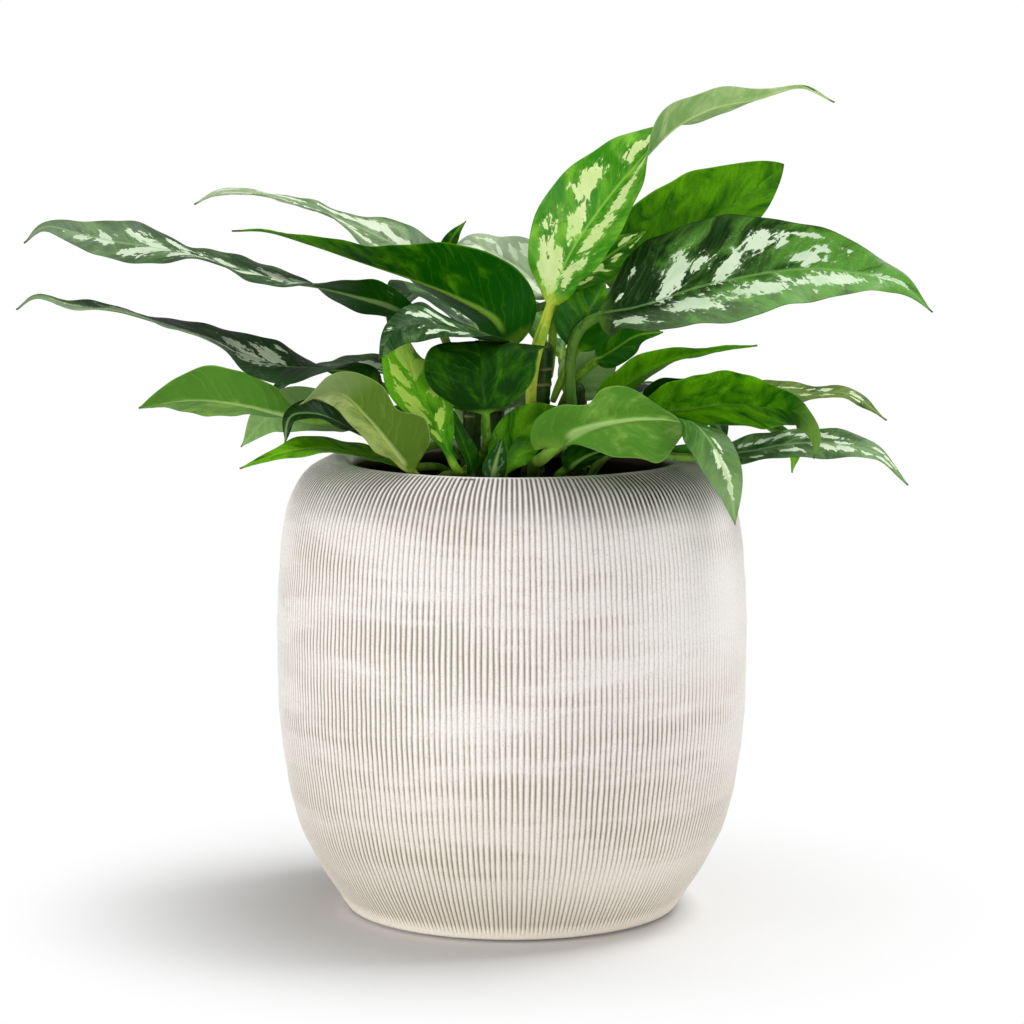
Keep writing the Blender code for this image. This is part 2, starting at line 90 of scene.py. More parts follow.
# Leaf finishes, as sRGB: upper face in shade and in light, underside in shade and in light,
# pale patches, stalk; then the roughness of the upper face and its sheen.
FINISHES = {
    "deep": ((4, 34, 1), (94, 156, 54), (10, 60, 1), (62, 128, 12),
        (212, 230, 200), (88, 130, 46), 0.46, 0.14),
    "inner": ((8, 50, 1), (64, 128, 10), (10, 54, 1), (66, 132, 8),
        (214, 232, 190), (96, 142, 40), 0.5, 0.1),
    "grey": ((16, 58, 14), (112, 148, 88), (16, 66, 2), (84, 134, 32),
        (212, 229, 200), (104, 142, 56), 0.46, 0.15),
    "frost": ((66, 104, 52), (160, 186, 136), (96, 136, 60), (156, 182, 118),
        (220, 233, 206), (120, 152, 76), 0.5, 0.18),
    "glow": ((14, 84, 1), (108, 176, 14), (14, 82, 1), (98, 170, 6),
        (210, 232, 150), (124, 164, 46), 0.46, 0.1),
    "lime": ((40, 126, 1), (142, 208, 60), (96, 146, 62), (192, 216, 160),
        (216, 234, 162), (196, 218, 70), 0.45, 0.16),
    "yellow": ((24, 112, 1), (124, 212, 38), (92, 144, 20), (148, 184, 60),
        (212, 255, 108), (140, 190, 48), 0.45, 0.14),
    "olive": ((42, 70, 20), (106, 134, 54), (76, 106, 28), (152, 170, 88),
        (204, 220, 176), (142, 172, 58), 0.5, 0.12),
    "fresh": ((26, 84, 6), (108, 162, 58), (78, 130, 38), (144, 186, 84),
        (226, 242, 206), (122, 162, 58), 0.46, 0.14),
}

# What a leaf's row leaves out. In order: stalk radius, side of the cane the stalk leaves from in degrees,
# place of the widest point, sharpness of the tip, fold of the two halves in degrees at the base and the
# tip, ruffle of the margin, strength of the pale patches, of the crease above the midrib and of the
# keel's colour below it, how stout the keel is near the base, reach of the sheath, width of the wing on
# the stalk, length of the lobes at the base, where the tip is withered, painted light and shade on the
# two halves, rolls.
USUAL = dict(
    stalk=2, side=None, peak=0.37, sharp=1.15, fold=(14, 6), ruffle=1, pale=1, crease=0.6,
    keel=1, stout=0.4, sheath=7, wing=0, lobe=0, withered=0.975, halves=(0, 0), rolls={0: 0},
)


def leaf(cane, height, width, heading, finish, **given):
    """A leaf's row, with the usual values for what it does not give."""
    row = dict(cane=cane, height=height, width=width, heading=heading, finish=finish)
    return {**USUAL, **row, **given}


# One row for each leaf: its cane, height on the cane, blade width, heading in degrees, finish, midrib
# points from base to tip, and rolls, the turn about the midrib in degrees at places along it. Places are
# in percent of the blade's length, and a value holds before the first and after the last. Some rows also
# give, in percent at such places: glow, how lit the green is, as painted light and shade; a painted
# sheen, over the whole blade and on one half, that pales the green; left and right, how wide each half is.
LEAVES = dict(
    leaf_01=leaf("a", 240, 50, 186, "grey", peak=0.45, fold=(4, 4),
        midrib=((-40, -8, 278), (-57, -10, 285), (-70, -13, 289), (-88, -17, 294), (-106, -21, 297),
            (-124, -25, 302), (-142, -29, 308), (-160, -32, 312), (-179, -35, 315), (-196, -37, 319),
            (-212, -39, 322), (-221, -39, 315)),
        rolls={0: 60, 9: 50, 16: 30, 26: 13, 32: -6, 42: -10, 54: -1, 60: -5, 70: -22, 78: -40, 86: -32,
            100: -25},
        bleach={60: 0, 80: 15, 100: 35},
        glow={0: -50, 20: -40, 35: 0, 100: 10}),
    leaf_02=leaf("a", 225, 42, 194, "grey", peak=0.34, fold=(4, 4),
        midrib=((-61, -14, 248), (-73, -18, 255), (-88, -23, 257), (-104, -28, 258), (-119, -33, 263),
            (-135, -38, 271), (-155, -43, 278), (-177, -48, 285), (-199, -52, 288), (-214, -54, 292),
            (-223, -54, 286)),
        rolls={0: 45, 8: 22, 16.5: 3, 22: -16, 29: -27, 38.5: -23, 48: -8, 60: -3, 72: 0, 85: -14,
            100: -20},
        faded_left={45: 0, 55: 50, 80: 50, 100: 20},
        glow={0: -40, 45: -25, 70: 10, 100: 40}),
    leaf_03=leaf("d", 262, 35, 180, "frost", fold=(4, 4), ruffle=0.9, pale=1.35,
        midrib=((-16, 35, 296), (-38, 38, 302), (-58, 40, 311), (-80, 40, 321), (-100, 38, 329),
            (-122, 36, 334), (-140, 34, 334), (-150, 33, 329)),
        rolls={0: -40, 35: -28, 50: -4, 75: -4, 90: -15, 100: -25},
        bleach={0: 0, 60: 5, 80: 30, 100: 40},
        glow={0: -20, 60: 10, 100: 40}),
    leaf_04=leaf("b", 258, 58, 180, "glow", peak=0.28, sharp=1.4, fold=(36, 4), ruffle=0.8, pale=0,
        stout=1.2, withered=0.955, halves=(0.1, 0),
        midrib=((1, 8, 264), (-8, 6, 277), (-26, 2, 288), (-47, -2, 297), (-70, -5, 305),
            (-93, -8, 313), (-114, -10, 319), (-129, -11, 319)),
        rolls={0: 56, 15: 50, 32: 34, 45: 20, 60: 12, 85: 10},
        faded_right={30: 0, 45: 30, 90: 45, 100: 30},
        glow={0: -40, 20: -30, 60: 0, 80: 30}),
    leaf_05=leaf("d", 274, 32, 180, "frost", pale=1.3,
        midrib=((17, 22, 286), (4, 25, 299), (-9, 27, 306), (-19, 28, 311), (-28, 28, 309)),
        rolls={0: -50, 100: -40},
        bleach={0: 45}),
    leaf_06=leaf("a", 236, 46, 215, "grey", side=20, peak=0.46, ruffle=0.9, pale=1.1, crease=0,
        midrib=((2, -15, 266), (-13, -26, 271), (-28, -40, 276), (-42, -50, 279), (-53, -57, 276),
            (-60, -62, 264)),
        rolls={20: -8, 40: -12, 60: -19, 85: -24, 100: -30},
        right={55: 100, 72: 70, 86: 50},
        left={70: 100, 85: 120},
        glow={0: 10, 100: -10}),
    leaf_07=leaf("a", 206, 53, 270, "inner", side=-60, peak=0.45, sharp=0.8, fold=(10, 4), pale=0,
        keel=0.4,
        midrib=((-12, -54, 239), (-13, -54, 251), (-14, -51, 261), (-15, -45, 268), (-16, -36, 270),
            (-17, -27, 267)),
        left={0: 100, 45: 95, 60: 110, 69: 150, 75: 130, 84: 60, 100: 50},
        glow={0: -10, 50: 0, 100: -20}),
    leaf_08=leaf("b", 232, 48, 0, "lime", stalk=3.2, side=-110, peak=0.23, sharp=1.5, fold=(34, 8),
        ruffle=1.2, sheath=20, wing=3,
        midrib=((18, -8, 285), (26, -12, 307), (41, -16, 330), (59, -18, 352), (74, -18, 367),
            (92, -18, 376), (112, -18, 380), (132, -20, 385), (147, -20, 378)),
        rolls={0: 64, 30: 60, 46: 28, 55: -16, 63: -40, 75: -36, 100: -20},
        left={0: 45, 7: 75, 14: 98, 20: 100},
        right={0: 45, 7: 70, 14: 95, 22: 100},
        bleach={50: 0, 58: 20, 100: 30},
        glow={40: 10, 60: 0, 100: 20}),
    leaf_09=leaf("a", 205, 42, 200, "yellow", side=-90, peak=0.6, sharp=0.9, ruffle=1.3, pale=1.3,
        crease=0.2, keel=0.4,
        midrib=((-27, -46, 216), (-35, -44, 233), (-43, -40, 249), (-48, -34, 263), (-50, -22, 273)),
        rolls={0: -60},
        glow={0: -20, 30: 30, 50: 70, 100: 80}),
    leaf_10=leaf("a", 200, 34, 190, "olive", side=-135, peak=0.42, ruffle=1.6, pale=0, keel=0.8,
        halves=(-0.4, 0.4),
        midrib=((-45, -58, 213), (-54, -64, 226), (-65, -68, 240), (-76, -70, 250), (-87, -72, 249),
            (-95, -72, 245)),
        rolls={70: 50, 100: 10},
        faded_right={0: 0, 50: 12, 100: 20},
        left={0: 100, 12: 150, 30: 135, 42: 80, 60: 110, 100: 100},
        right={0: 100, 30: 70, 60: 90, 100: 100},
        bleach={60: 0, 80: 30}),
    leaf_11=leaf("a", 214, 24, 190, "deep", side=-150, ruffle=1.3, pale=0,
        midrib=((-56, -37, 222), (-73, -43, 231), (-89, -47, 238), (-100, -49, 237), (-103, -49, 225)),
        rolls={0: 10, 100: -40},
        glow={0: -60, 100: -50}),
    leaf_12=leaf("a", 202, 23, 200, "glow", side=180, ruffle=0.8, pale=0,
        midrib=((-50, -31, 213), (-68, -42, 219), (-86, -52, 223), (-103, -62, 222), (-122, -70, 216)),
        rolls={0: -10, 100: -22},
        glow={0: 40, 100: 50}),
    leaf_13=leaf("d", 222, 42, 190, "fresh", peak=0.52, fold=(18, 12), pale=0, halves=(-0.2, 0.3),
        midrib=((-96, -17, 233), (-108, -20, 236), (-122, -24, 240), (-142, -28, 243), (-158, -30, 242),
            (-171, -30, 239)),
        rolls={0: 40, 100: 37},
        glow={0: -120, 12: -90, 30: -10, 100: 0}),
    leaf_14=leaf("d", 212, 26, 180, "fresh", ruffle=0.8, pale=0,
        midrib=((-75, 10, 226), (-94, 10, 233), (-113, 8, 231), (-127, 5, 217)),
        rolls={0: -40, 100: -70},
        bleach={0: 30},
        glow={0: 50}),
    leaf_15=leaf("c", 226, 64, -12, "deep", stalk=2.6, side=-100, peak=0.3, sharp=1.3, fold=(30, 4),
        ruffle=1.2, keel=0.8, stout=0.9, halves=(0, 0.12),
        midrib=((40, -22, 280), (63, -30, 287), (85, -38, 295), (105, -44, 300), (130, -50, 304),
            (152, -54, 303), (174, -56, 298), (189, -56, 285)),
        rolls={0: 42, 20: 44, 40: 53, 70: 52, 100: 40},
        faded_right={0: 0, 25: 15, 60: 20, 100: 0},
        glow={0: -50, 15: -35, 30: 5, 50: 15, 80: 50}),
    leaf_16=leaf("e", 262, 58, 10, "glow", peak=0.44, sharp=0.8, fold=(6, 6), ruffle=0.9, pale=0,
        keel=0.5,
        midrib=((43, 15, 295), (60, 22, 304), (84, 28, 317), (107, 31, 332), (128, 32, 348)),
        rolls={0: -65, 100: -60},
        glow={0: 20, 50: 40, 100: 30}),
    leaf_17=leaf("b", 250, 26, 10, "glow", side=60,
        midrib=((27, 2, 290), (38, 3, 301), (50, 4, 310), (63, 6, 318)),
        rolls={0: 40}),
    leaf_18=leaf("b", 201, 47, -25, "fresh", stalk=2.8, side=-80, peak=0.38, sharp=1, fold=(-18, 0),
        ruffle=1.6, stout=1, lobe=10,
        midrib=((21, -58, 225), (26, -62, 231), (35, -67, 235), (46, -72, 238), (59, -78, 240),
            (71, -82, 240), (80, -84, 238), (87, -87, 231), (93, -90, 220), (97, -91, 207), (99, -89, 193)),
        rolls={0: -50, 40: -54, 58: 0, 76: 45, 100: 55},
        bleach={60: 0, 70: 15, 80: 20, 90: 40, 100: 20},
        glow={0: -80, 12: -50, 25: 0, 50: 0, 70: 0, 100: 10},
        right={6: 150, 13: 115, 20: 60, 30: 105, 45: 100, 58: 85, 68: 60, 85: 72, 100: 70},
        left={0: 20, 8: 25, 20: 75, 40: 115, 60: 90, 70: 65, 100: 70}),
    leaf_19=leaf("c", 210, 35, -14, "glow", side=-60, sharp=1, fold=(4, 4), ruffle=1.2, pale=0,
        keel=0.5,
        midrib=((58, -28, 237), (80, -34, 240), (99, -42, 243), (114, -55, 243), (126, -68, 242),
            (132, -76, 237), (135, -81, 230), (134, -84, 222)),
        rolls={60: -45, 80: -66, 100: -80},
        glow={0: 20, 60: 30, 75: 0, 100: -40},
        left={0: 100, 40: 110, 65: 100, 80: 70, 100: 60},
        right={0: 100, 40: 125, 60: 115, 80: 70, 100: 60},
        bleach={74: 0, 86: 30}),
    leaf_20=leaf("e", 225, 26, -4, "olive", fold=(4, 4), ruffle=1.2,
        midrib=((83, -2, 239), (108, -4, 243), (133, -6, 243), (156, -8, 243), (174, -8, 231)),
        rolls={0: 12, 100: 20},
        glow={0: 30, 100: 50}),
    leaf_21=leaf("c", 204, 24, -10, "grey", fold=(4, 4), ruffle=1.2,
        midrib=((85, -50, 219), (107, -56, 222), (127, -60, 226), (146, -64, 226), (164, -66, 222),
            (178, -66, 208)),
        rolls={0: 25, 100: 35},
        glow={0: 20, 60: 30, 100: 70}),
    leaf_22=leaf("e", 206, 18, -10, "glow", side=-20, pale=0,
        midrib=((104, -6, 232), (120, -10, 228), (130, -12, 219), (130, -12, 207)),
        rolls={0: 0, 100: 30},
        glow={0: 40}),
    leaf_23=leaf("c", 204, 20, 0, "glow", side=10, pale=0,
        midrib=((63, -22, 220), (86, -25, 218), (107, -28, 219), (127, -30, 222))),
    leaf_24=leaf("c", 228, 24, -8, "glow", side=-40, pale=0, keel=0.5,
        midrib=((38, -14, 238), (54, -20, 251), (70, -26, 260), (88, -30, 265), (112, -32, 268)),
        rolls={0: -40, 100: -10},
        glow={0: 70, 100: 50}),
    leaf_25=leaf("e", 218, 22, -4, "inner", side=-70, pale=0,
        midrib=((60, -12, 239), (74, -16, 244), (88, -19, 248), (98, -20, 248)),
        rolls={0: -40}),
    leaf_26=leaf("b", 196, 24, 110, "glow", side=-110, pale=0, crease=0, keel=0.2,
        midrib=((-4, -42, 210), (-3, -42, 217), (1, -41, 225), (7, -38, 232), (14, -34, 237),
            (21, -30, 240)),
        glow={0: 0, 50: 30}),
    leaf_27=leaf("c", 200, 24, -20, "inner", side=-120, pale=0,
        midrib=((24, -36, 211), (35, -39, 219), (50, -41, 223), (66, -42, 223)),
        rolls={0: -30}),
    leaf_28=leaf("b", 240, 29, 0, "glow", side=-30, pale=0, crease=0.2, keel=0.3,
        midrib=((29, -12, 264), (33, -13, 275), (38, -14, 287), (43, -15, 296)),
        rolls={0: 70},
        glow={0: -20, 100: 10}),
    leaf_29=leaf("b", 224, 25, 0, "glow", side=20, pale=0,
        midrib=((39, -3, 258), (48, -5, 264), (58, -5, 270), (70, -7, 272)),
        rolls={0: 40},
        glow={0: -30, 100: 0}),
    leaf_30=leaf("c", 230, 27, 15, "fresh", side=60, pale=0, crease=0.2, keel=0.4,
        midrib=((26, 9, 240), (31, 10, 246), (37, 11, 253), (45, 12, 260), (52, 12, 265)),
        rolls={0: 60},
        bleach={0: 40},
        glow={0: 70}),
    leaf_31=leaf("a", 196, 13, 200, "glow", stalk=1.3, side=-85, ruffle=0.8, pale=0, crease=0.2,
        keel=0.3,
        midrib=((-18, -38, 208), (-20, -36, 217), (-24, -33, 227), (-29, -28, 237), (-33, -23, 245)),
        rolls={0: -55},
        glow={0: -30, 100: 10}),
    leaf_32=leaf("b", 197, 11, 270, "grey", stalk=1.4, side=-140, ruffle=0.5, pale=0.95, crease=0,
        midrib=((-9, -60, 206), (-8, -60, 214), (-6, -59, 222), (-4, -58, 229)),
        glow={0: -30}),
    leaf_33=leaf("e", 250, 52, 35, "grey", ruffle=1.6,
        midrib=((34, 36, 262), (56, 54, 277), (84, 72, 289), (112, 88, 296), (138, 100, 290))),
    leaf_34=leaf("d", 230, 44, 150, "deep", ruffle=1.6,
        midrib=((-28, 36, 236), (-52, 50, 246), (-80, 64, 250), (-104, 76, 244), (-122, 84, 230))),
    leaf_35=leaf("e", 240, 50, 88, "fresh", ruffle=1.6,
        midrib=((24, 48, 256), (26, 72, 272), (26, 98, 276), (24, 122, 266), (20, 136, 248))),
    leaf_36=leaf("d", 254, 50, 120, "grey", ruffle=1.6,
        midrib=((-16, 44, 268), (-26, 66, 282), (-40, 88, 286), (-54, 108, 278), (-62, 118, 264))),
    leaf_37=leaf("e", 222, 44, 42, "deep", ruffle=1.6,
        midrib=((46, 44, 232), (66, 62, 238), (86, 82, 234), (100, 98, 220), (106, 106, 204))),
    leaf_38=leaf("d", 214, 44, 95, "frost", ruffle=1.5,
        midrib=((-6, 52, 222), (-8, 76, 232), (-12, 98, 230), (-16, 116, 216), (-18, 124, 200))),
    leaf_39=leaf("d", 276, 9, 70, "glow", stalk=1.3, side=140, ruffle=0.5, pale=0,
        midrib=((-30, 47, 298), (-31, 50, 306), (-28, 52, 313), (-22, 54, 320))),
)

# Pale patches placed one by one on the leaves in view, in percent: along, across (left side is positive),
# and the half length and half width of the patch. Other leaves get scattered ones.
PATCHES = dict(
    leaf_01=((31, 5, 2.5, 45), (37, -10, 2.5, 40), (45, 20, 2, 35), (50, -10, 2.5, 40),
        (55, 10, 2, 45), (61, 20, 2, 45), (67, 5, 3, 50), (73, 35, 2, 35), (72, -40, 2, 25),
        (79, 0, 2, 30), (62, -50, 2, 25), (85, 25, 2, 20)),
    leaf_02=((31, -30, 4, 28), (36, 10, 4, 30), (41, -25, 3, 20), (48, 30, 6, 15), (60, 20, 6, 16),
        (27, -70, 2, 8), (72, -30, 5, 20), (85, 10, 5, 20)),
    leaf_06=((50, 55, 5, 16), (60, 45, 6, 12), (42, 30, 5, 12), (68, 65, 3, 8), (50, -55, 5, 16),
        (60, -45, 6, 12), (42, -30, 5, 12), (68, -65, 3, 8)),
    leaf_08=((8, 30, 7, 40), (10, -35, 5, 25), (22, 25, 5, 18), (32, 55, 5, 22), (46, 35, 5, 14),
        (22, -35, 6, 18), (34, -40, 7, 16), (44, -35, 4, 12), (18, 72, 2, 8), (70, 30, 10, 12),
        (80, -20, 8, 12)),
    leaf_09=((86, 0, 7, 80), (76, 25, 6, 45), (70, -25, 5, 30), (62, 45, 4, 25), (48, 45, 6, 30),
        (36, 50, 5, 25), (30, -30, 5, 25), (52, -50, 5, 22), (20, 30, 4, 25)),
    leaf_15=((23.5, 28, 4, 34), (32, 36, 2.5, 10), (40, 22, 3, 24), (49, 58, 5, 20),
        (61, 78, 4.5, 6), (55.5, 55, 1.6, 10), (62, 27, 4.5, 16), (66, 48, 2.2, 8), (71, 62, 2, 5),
        (12, 65, 1.2, 6), (7, 35, 1.2, 6), (11, -55, 5, 16), (30, -42, 8, 20), (50, -35, 9.5, 18),
        (48, -84, 4, 5), (69, -35, 9.5, 20), (87, 5, 6.5, 20)),
    leaf_18=((74, 0, 4, 18), (80, 5, 5, 20), (86, 2, 4, 14), (70, 20, 3, 10)),
)

# pot: its profiles are radius and height, and GROOVE is the depth of the cut at the steps across one rib
RIBS = 256
RIB_DEPTH = 0.55
GROOVE = (1.0, 0.28, 0.0, 0.28)
POT_HEIGHT = 213.4
POT_FLOOR = 9.0
POT_OUTER = (
    (84.5, 213.2), (88.9, 211.3), (95.8, 207.2), (101.2, 200.0), (104.9, 190.5), (107.3, 178.0),
    (109.1, 160.0), (110.0, 136.0), (110.1, 114.0), (109.2, 92.0), (107.1, 72.0), (103.8, 54.0),
    (99.5, 39.0), (93.6, 26.5), (87.0, 15.5), (81.0, 6.5), (78.6, 2.6),
)
POT_LIP = ((76.4, 203.6), (75.8, 206.5), (76.3, 210.2), (78.4, 212.5), (81.4, 213.4))
POT_INNER = (
    (78.0, 17.0), (89.0, 33.0), (98.0, 57.0), (102.6, 90.0), (104.0, 125.0), (103.3, 158.0),
    (101.6, 175.0), (99.6, 186.0), (96.0, 195.5), (90.0, 202.0),
)
POT_FOOT = ((77.7, 1.5), (70.5, 1.3), (70.3, 0.0), (0.0, 0.0))
OUTER_ROWS = 70
# angle of the side of the shoulder that the painted leaf shadow covers
MOSSY_TURN = -0.85
# where the ribs are shallower and their grooves paler: painted light on the lit side
WORN_TURN = -0.35
WORN_HEIGHT = 150
WALL_MARGIN = 2.0

# chips in the lip, in metres
LIP_CHIPS = ((-0.0205, -0.0835, 0.2132), (-0.0178, -0.0838, 0.2132), (-0.0226, -0.083, 0.2133))

# soil
SOIL_TOP = 190.0
SOIL_EDGE = 98.2
SOIL_BITS = 420
BITS_REACH = 94.0
WHITE_SHARE = 0.16

# room, in metres, with each lamp's place, size and power
FLOOR_FADE = (0.08, 0.25)
WORLD_LEVEL = 0.36
LENS = 128.57
CAMERA_PLACE = (0.0, -1.69665, 0.41399)
CAMERA_DIP = 7.62
LAMPS = {
    "key": ((1.0, 0.35, 1.95), (0.9, 0.9), 38.0),
    "fill": ((0.35, -2.4, 0.24), (2.4, 0.4), 26.0),
    "side": ((-2.0, -0.7, 0.26), (1.0, 0.4), 20.0),
}
LAMP_AIM = (0.0, 0.0, 0.2)


# ---- materials ----


def linear(rgb):
    """A colour written as sRGB 0 to 255, as the linear value a shader takes."""
    parts = [c / 255 for c in rgb]
    return tuple(p / 12.92 if p <= 0.04045 else ((p + 0.055) / 1.055) ** 2.4 for p in parts) + (1.0,)


def between(a, b, share):
    """The sRGB colour that lies the given share of the way from a to b."""
    return tuple(x * (1 - share) + y * share for x, y in zip(a, b))


def node(tree, kind, inputs, **settings):
    """Adds a shader node; each input is set to a value or joined to another node's output."""
    made = tree.nodes.new("ShaderNode" + kind)
    for key, value in settings.items():
        setattr(made, key, value)
    for key, value in inputs.items():
        if isinstance(value, bpy.types.NodeSocket):
            tree.links.new(value, made.inputs[key])
        else:
            made.inputs[key].default_value = value
    return made


def attribute(tree, name, output="Fac"):
    return node(tree, "Attribute", {}, attribute_name=name).outputs[output]


def object_place(tree):
    return node(tree, "TexCoord", {}).outputs["Object"]


# The next five add their node to the tree that the socket given to them belongs to.


def calc(operation, a, b=0.0, c=0.0):
    return node(a.id_data, "Math", {0: a, 1: b, 2: c}, operation=operation).outputs[0]


def mix(share, a, b):
    """Mixes two colours, each either a node's output or written as sRGB."""
    a, b = (linear(c) if isinstance(c, tuple) else c for c in (a, b))
    return node(share.id_data, "Mix", {0: share, 6: a, 7: b}, data_type="RGBA").outputs[2]


def rise(value, low, high, start=0.0, end=1.0):
    """A smooth step of value from start at low to end at high."""
    inputs = {"Value": value, "From Min": low, "From Max": high, "To Min": start, "To Max": end}
    return node(value.id_data, "MapRange", inputs, interpolation_type="SMOOTHSTEP").outputs[0]


def clouds(place, scale, detail=2.0, roughness=0.5, swirl=0.0):
    """Noise at one scale, or at a different scale along each axis."""
    tree = place.id_data
    if isinstance(scale, tuple):
        place = node(tree, "Mapping", {"Vector": place, "Scale": scale}).outputs[0]
        scale = 1.0
    inputs = {"Vector": place, "Scale": scale, "Detail": detail, "Roughness": roughness, "Distortion": swirl}
    return node(tree, "TexNoise", inputs).outputs[0]


def raised(height, distance, strength, before=None):
    inputs = {"Height": height, "Distance": distance, "Strength": strength}
    if before is not None:
        inputs["Normal"] = before
    return node(height.id_data, "Bump", inputs).outputs[0]


def blank_material(name):
    made = bpy.data.materials.new(name)
    made.use_nodes = True
    return made, made.node_tree


def covered(made, colour, relief, rough, sheen=0.5):
    """Joins a material's finished colour, relief and roughness to its shader."""
    shader = made.node_tree.nodes["Principled BSDF"].inputs
    for name, value in (("Base Color", colour), ("Normal", relief), ("Roughness", rough)):
        made.node_tree.links.new(value, shader[name])
    shader["Specular IOR Level"].default_value = sheen
    return made


def vein_place(tree):
    """Places on a blade measured along its side veins: across the veins, along them, and which half."""
    blade = attribute(tree, "blade", "Vector")
    parts = node(tree, "SeparateXYZ", {0: blade})
    out = calc("ABSOLUTE", parts.outputs[1])
    over = calc("MULTIPLY_ADD", out, -SWEEP, parts.outputs[0])
    half = calc("MULTIPLY_ADD", calc("SIGN", parts.outputs[1]), 0.4, parts.outputs[2])
    place = node(tree, "CombineXYZ", {0: over, 1: out, 2: half}).outputs[0]
    return place, over, out


def patch_field(tree, place):
    """Soft spots broken up by two sizes of noise; a pale patch is where this is high."""
    jag = clouds(place, (250, 190, 1), 2, 0.5, 0.7)
    fine = clouds(place, (520, 640, 1), 2, 0.5, 0.8)
    field = calc("MULTIPLY_ADD", jag, 1.1, attribute(tree, "patch"))
    return calc("MULTIPLY_ADD", fine, 0.5, field)


def side_veins(over, place):
    """Thin side veins at a slightly uneven pitch: their height and how much of the vein colour to show."""
    drift = clouds(place, 90)
    wave = calc("SINE", calc("MULTIPLY_ADD", drift, 14, calc("MULTIPLY", over, 1250)))
    shown = rise(clouds(place, 60), 0.4, 0.62, 0, 0.11)
    return wave, calc("MULTIPLY", rise(wave, 0.72, 1), shown)


def leaf_green(tree, place, scale, shade, light):
    """A blade's green, cloudy between its shade and light colours and lifted or lowered by the glow, painted
    light and shade on the leaf.
    """
    soft = clouds(place, scale, 3, 0.6, 0.6)
    tone = calc("MULTIPLY_ADD", soft, 2, calc("SUBTRACT", attribute(tree, "glow"), 0.76))
    return soft, mix(rise(tone, 0.05, 0.95), shade, light)


def fine_grain(place, colour, dark):
    """Very small darker flecks, as on real leaf skin."""
    grain = clouds(place, (1900, 1900, 1), 2, 0.6)
    return mix(rise(grain, 0.44, 0.68, 0, 0.42), colour, dark)


def leaf_rest(tree, colour, edge, edge_colour, finish_colours):
    """What both faces share: parts paled by painted sheen, a thin margin, the mottled stalk and the withered
    tip.
    """
    shade, light, pale, stalk = finish_colours
    # painted sheen: the green paled towards the pale colour
    colour = mix(attribute(tree, "bleach"), colour, between(light, pale, 0.65))
    colour = mix(edge, colour, edge_colour)
    mottle = clouds(object_place(tree), (200, 200, 90), 3, 0.6)
    stalk_tone = mix(rise(mottle, 0.5, 0.6, 0, 0.75), stalk, between(stalk, shade, 0.4))
    colour = mix(attribute(tree, "stalk"), colour, stalk_tone)
    return mix(attribute(tree, "withered"), colour, WITHERED)


def leaf_relief(veins, place, distance, strength):
    skin = clouds(place, 700, 2, 0.6)
    return raised(skin, distance, strength, raised(veins, 0.0001, 0.3))


def leaf_upper(finish):
    """Cloudy green with thin side veins, pale patches and a light line along the midrib."""
    shade, light, _, _, pale, stalk, gloss, sheen = FINISHES[finish]
    made, tree = blank_material("leaf_upper_" + finish)
    place, over, out = vein_place(tree)
    field = patch_field(tree, place)
    soft, green = leaf_green(tree, place, 75, shade, light)
    streaks = clouds(place, (1500, 90, 1), 3, 0.6)
    green = mix(rise(streaks, 0.35, 0.75, 0, 0.16), green, light)
    veins, vein_share = side_veins(over, place)
    green = mix(vein_share, green, between(light, pale, 0.3))
    halo = rise(field, 1.05, 1.21, 0, 0.12)
    green = fine_grain(place, mix(halo, green, pale), shade)
    cream = mix(rise(soft, 0.35, 0.7, 0, 0.22), pale, light)
    colour = mix(rise(field, 1.22, 1.24), green, cream)
    middle = calc("MULTIPLY", rise(out, 0.0003, 0.0011, 0.75, 0), attribute(tree, "crease"))
    colour = mix(middle, colour, between(light, pale, 0.3))
    edge = rise(attribute(tree, "rim"), 0.965, 0.995, 0, 0.55)
    colour = leaf_rest(tree, colour, edge, between(shade, light, 0.2), (shade, light, pale, stalk))
    relief = leaf_relief(veins, place, 0.0001, 0.4)
    return covered(made, colour, relief, rise(soft, 0.3, 0.7, gloss - 0.08, gloss + 0.12), sheen)


def leaf_under(finish):
    """A softer green without clear patches, and a pale keel along the midrib."""
    _, _, shade, light, pale, stalk, gloss, sheen = FINISHES[finish]
    made, tree = blank_material("leaf_under_" + finish)
    place, over, _ = vein_place(tree)
    field = patch_field(tree, place)
    soft, green = leaf_green(tree, place, 80, shade, light)
    green = mix(rise(field, 1.1, 1.3, 0, 0.14), green, pale)
    veins, vein_share = side_veins(over, place)
    green = mix(vein_share, green, between(light, pale, 0.2))
    streaks = clouds(place, (1300, 90, 1), 3, 0.6)
    green = mix(rise(streaks, 0.4, 0.8, 0, 0.3), green, shade)
    middle = rise(attribute(tree, "midrib"), 0.25, 0.8, 0, 0.72)
    keel = tuple(0.45 * a + 0.2 * b + 0.35 * c for a, b, c in zip(light, stalk, pale))
    colour = mix(middle, fine_grain(place, green, shade), keel)
    edge = rise(attribute(tree, "rim"), 0.96, 0.998, 0, 0.45)
    colour = leaf_rest(tree, colour, edge, between(light, pale, 0.2), (shade, light, pale, stalk))
    relief = leaf_relief(veins, place, 0.00008, 0.5)
    return covered(made, colour, relief, rise(soft, 0.3, 0.7, gloss + 0.04, gloss + 0.16), sheen * 0.6)


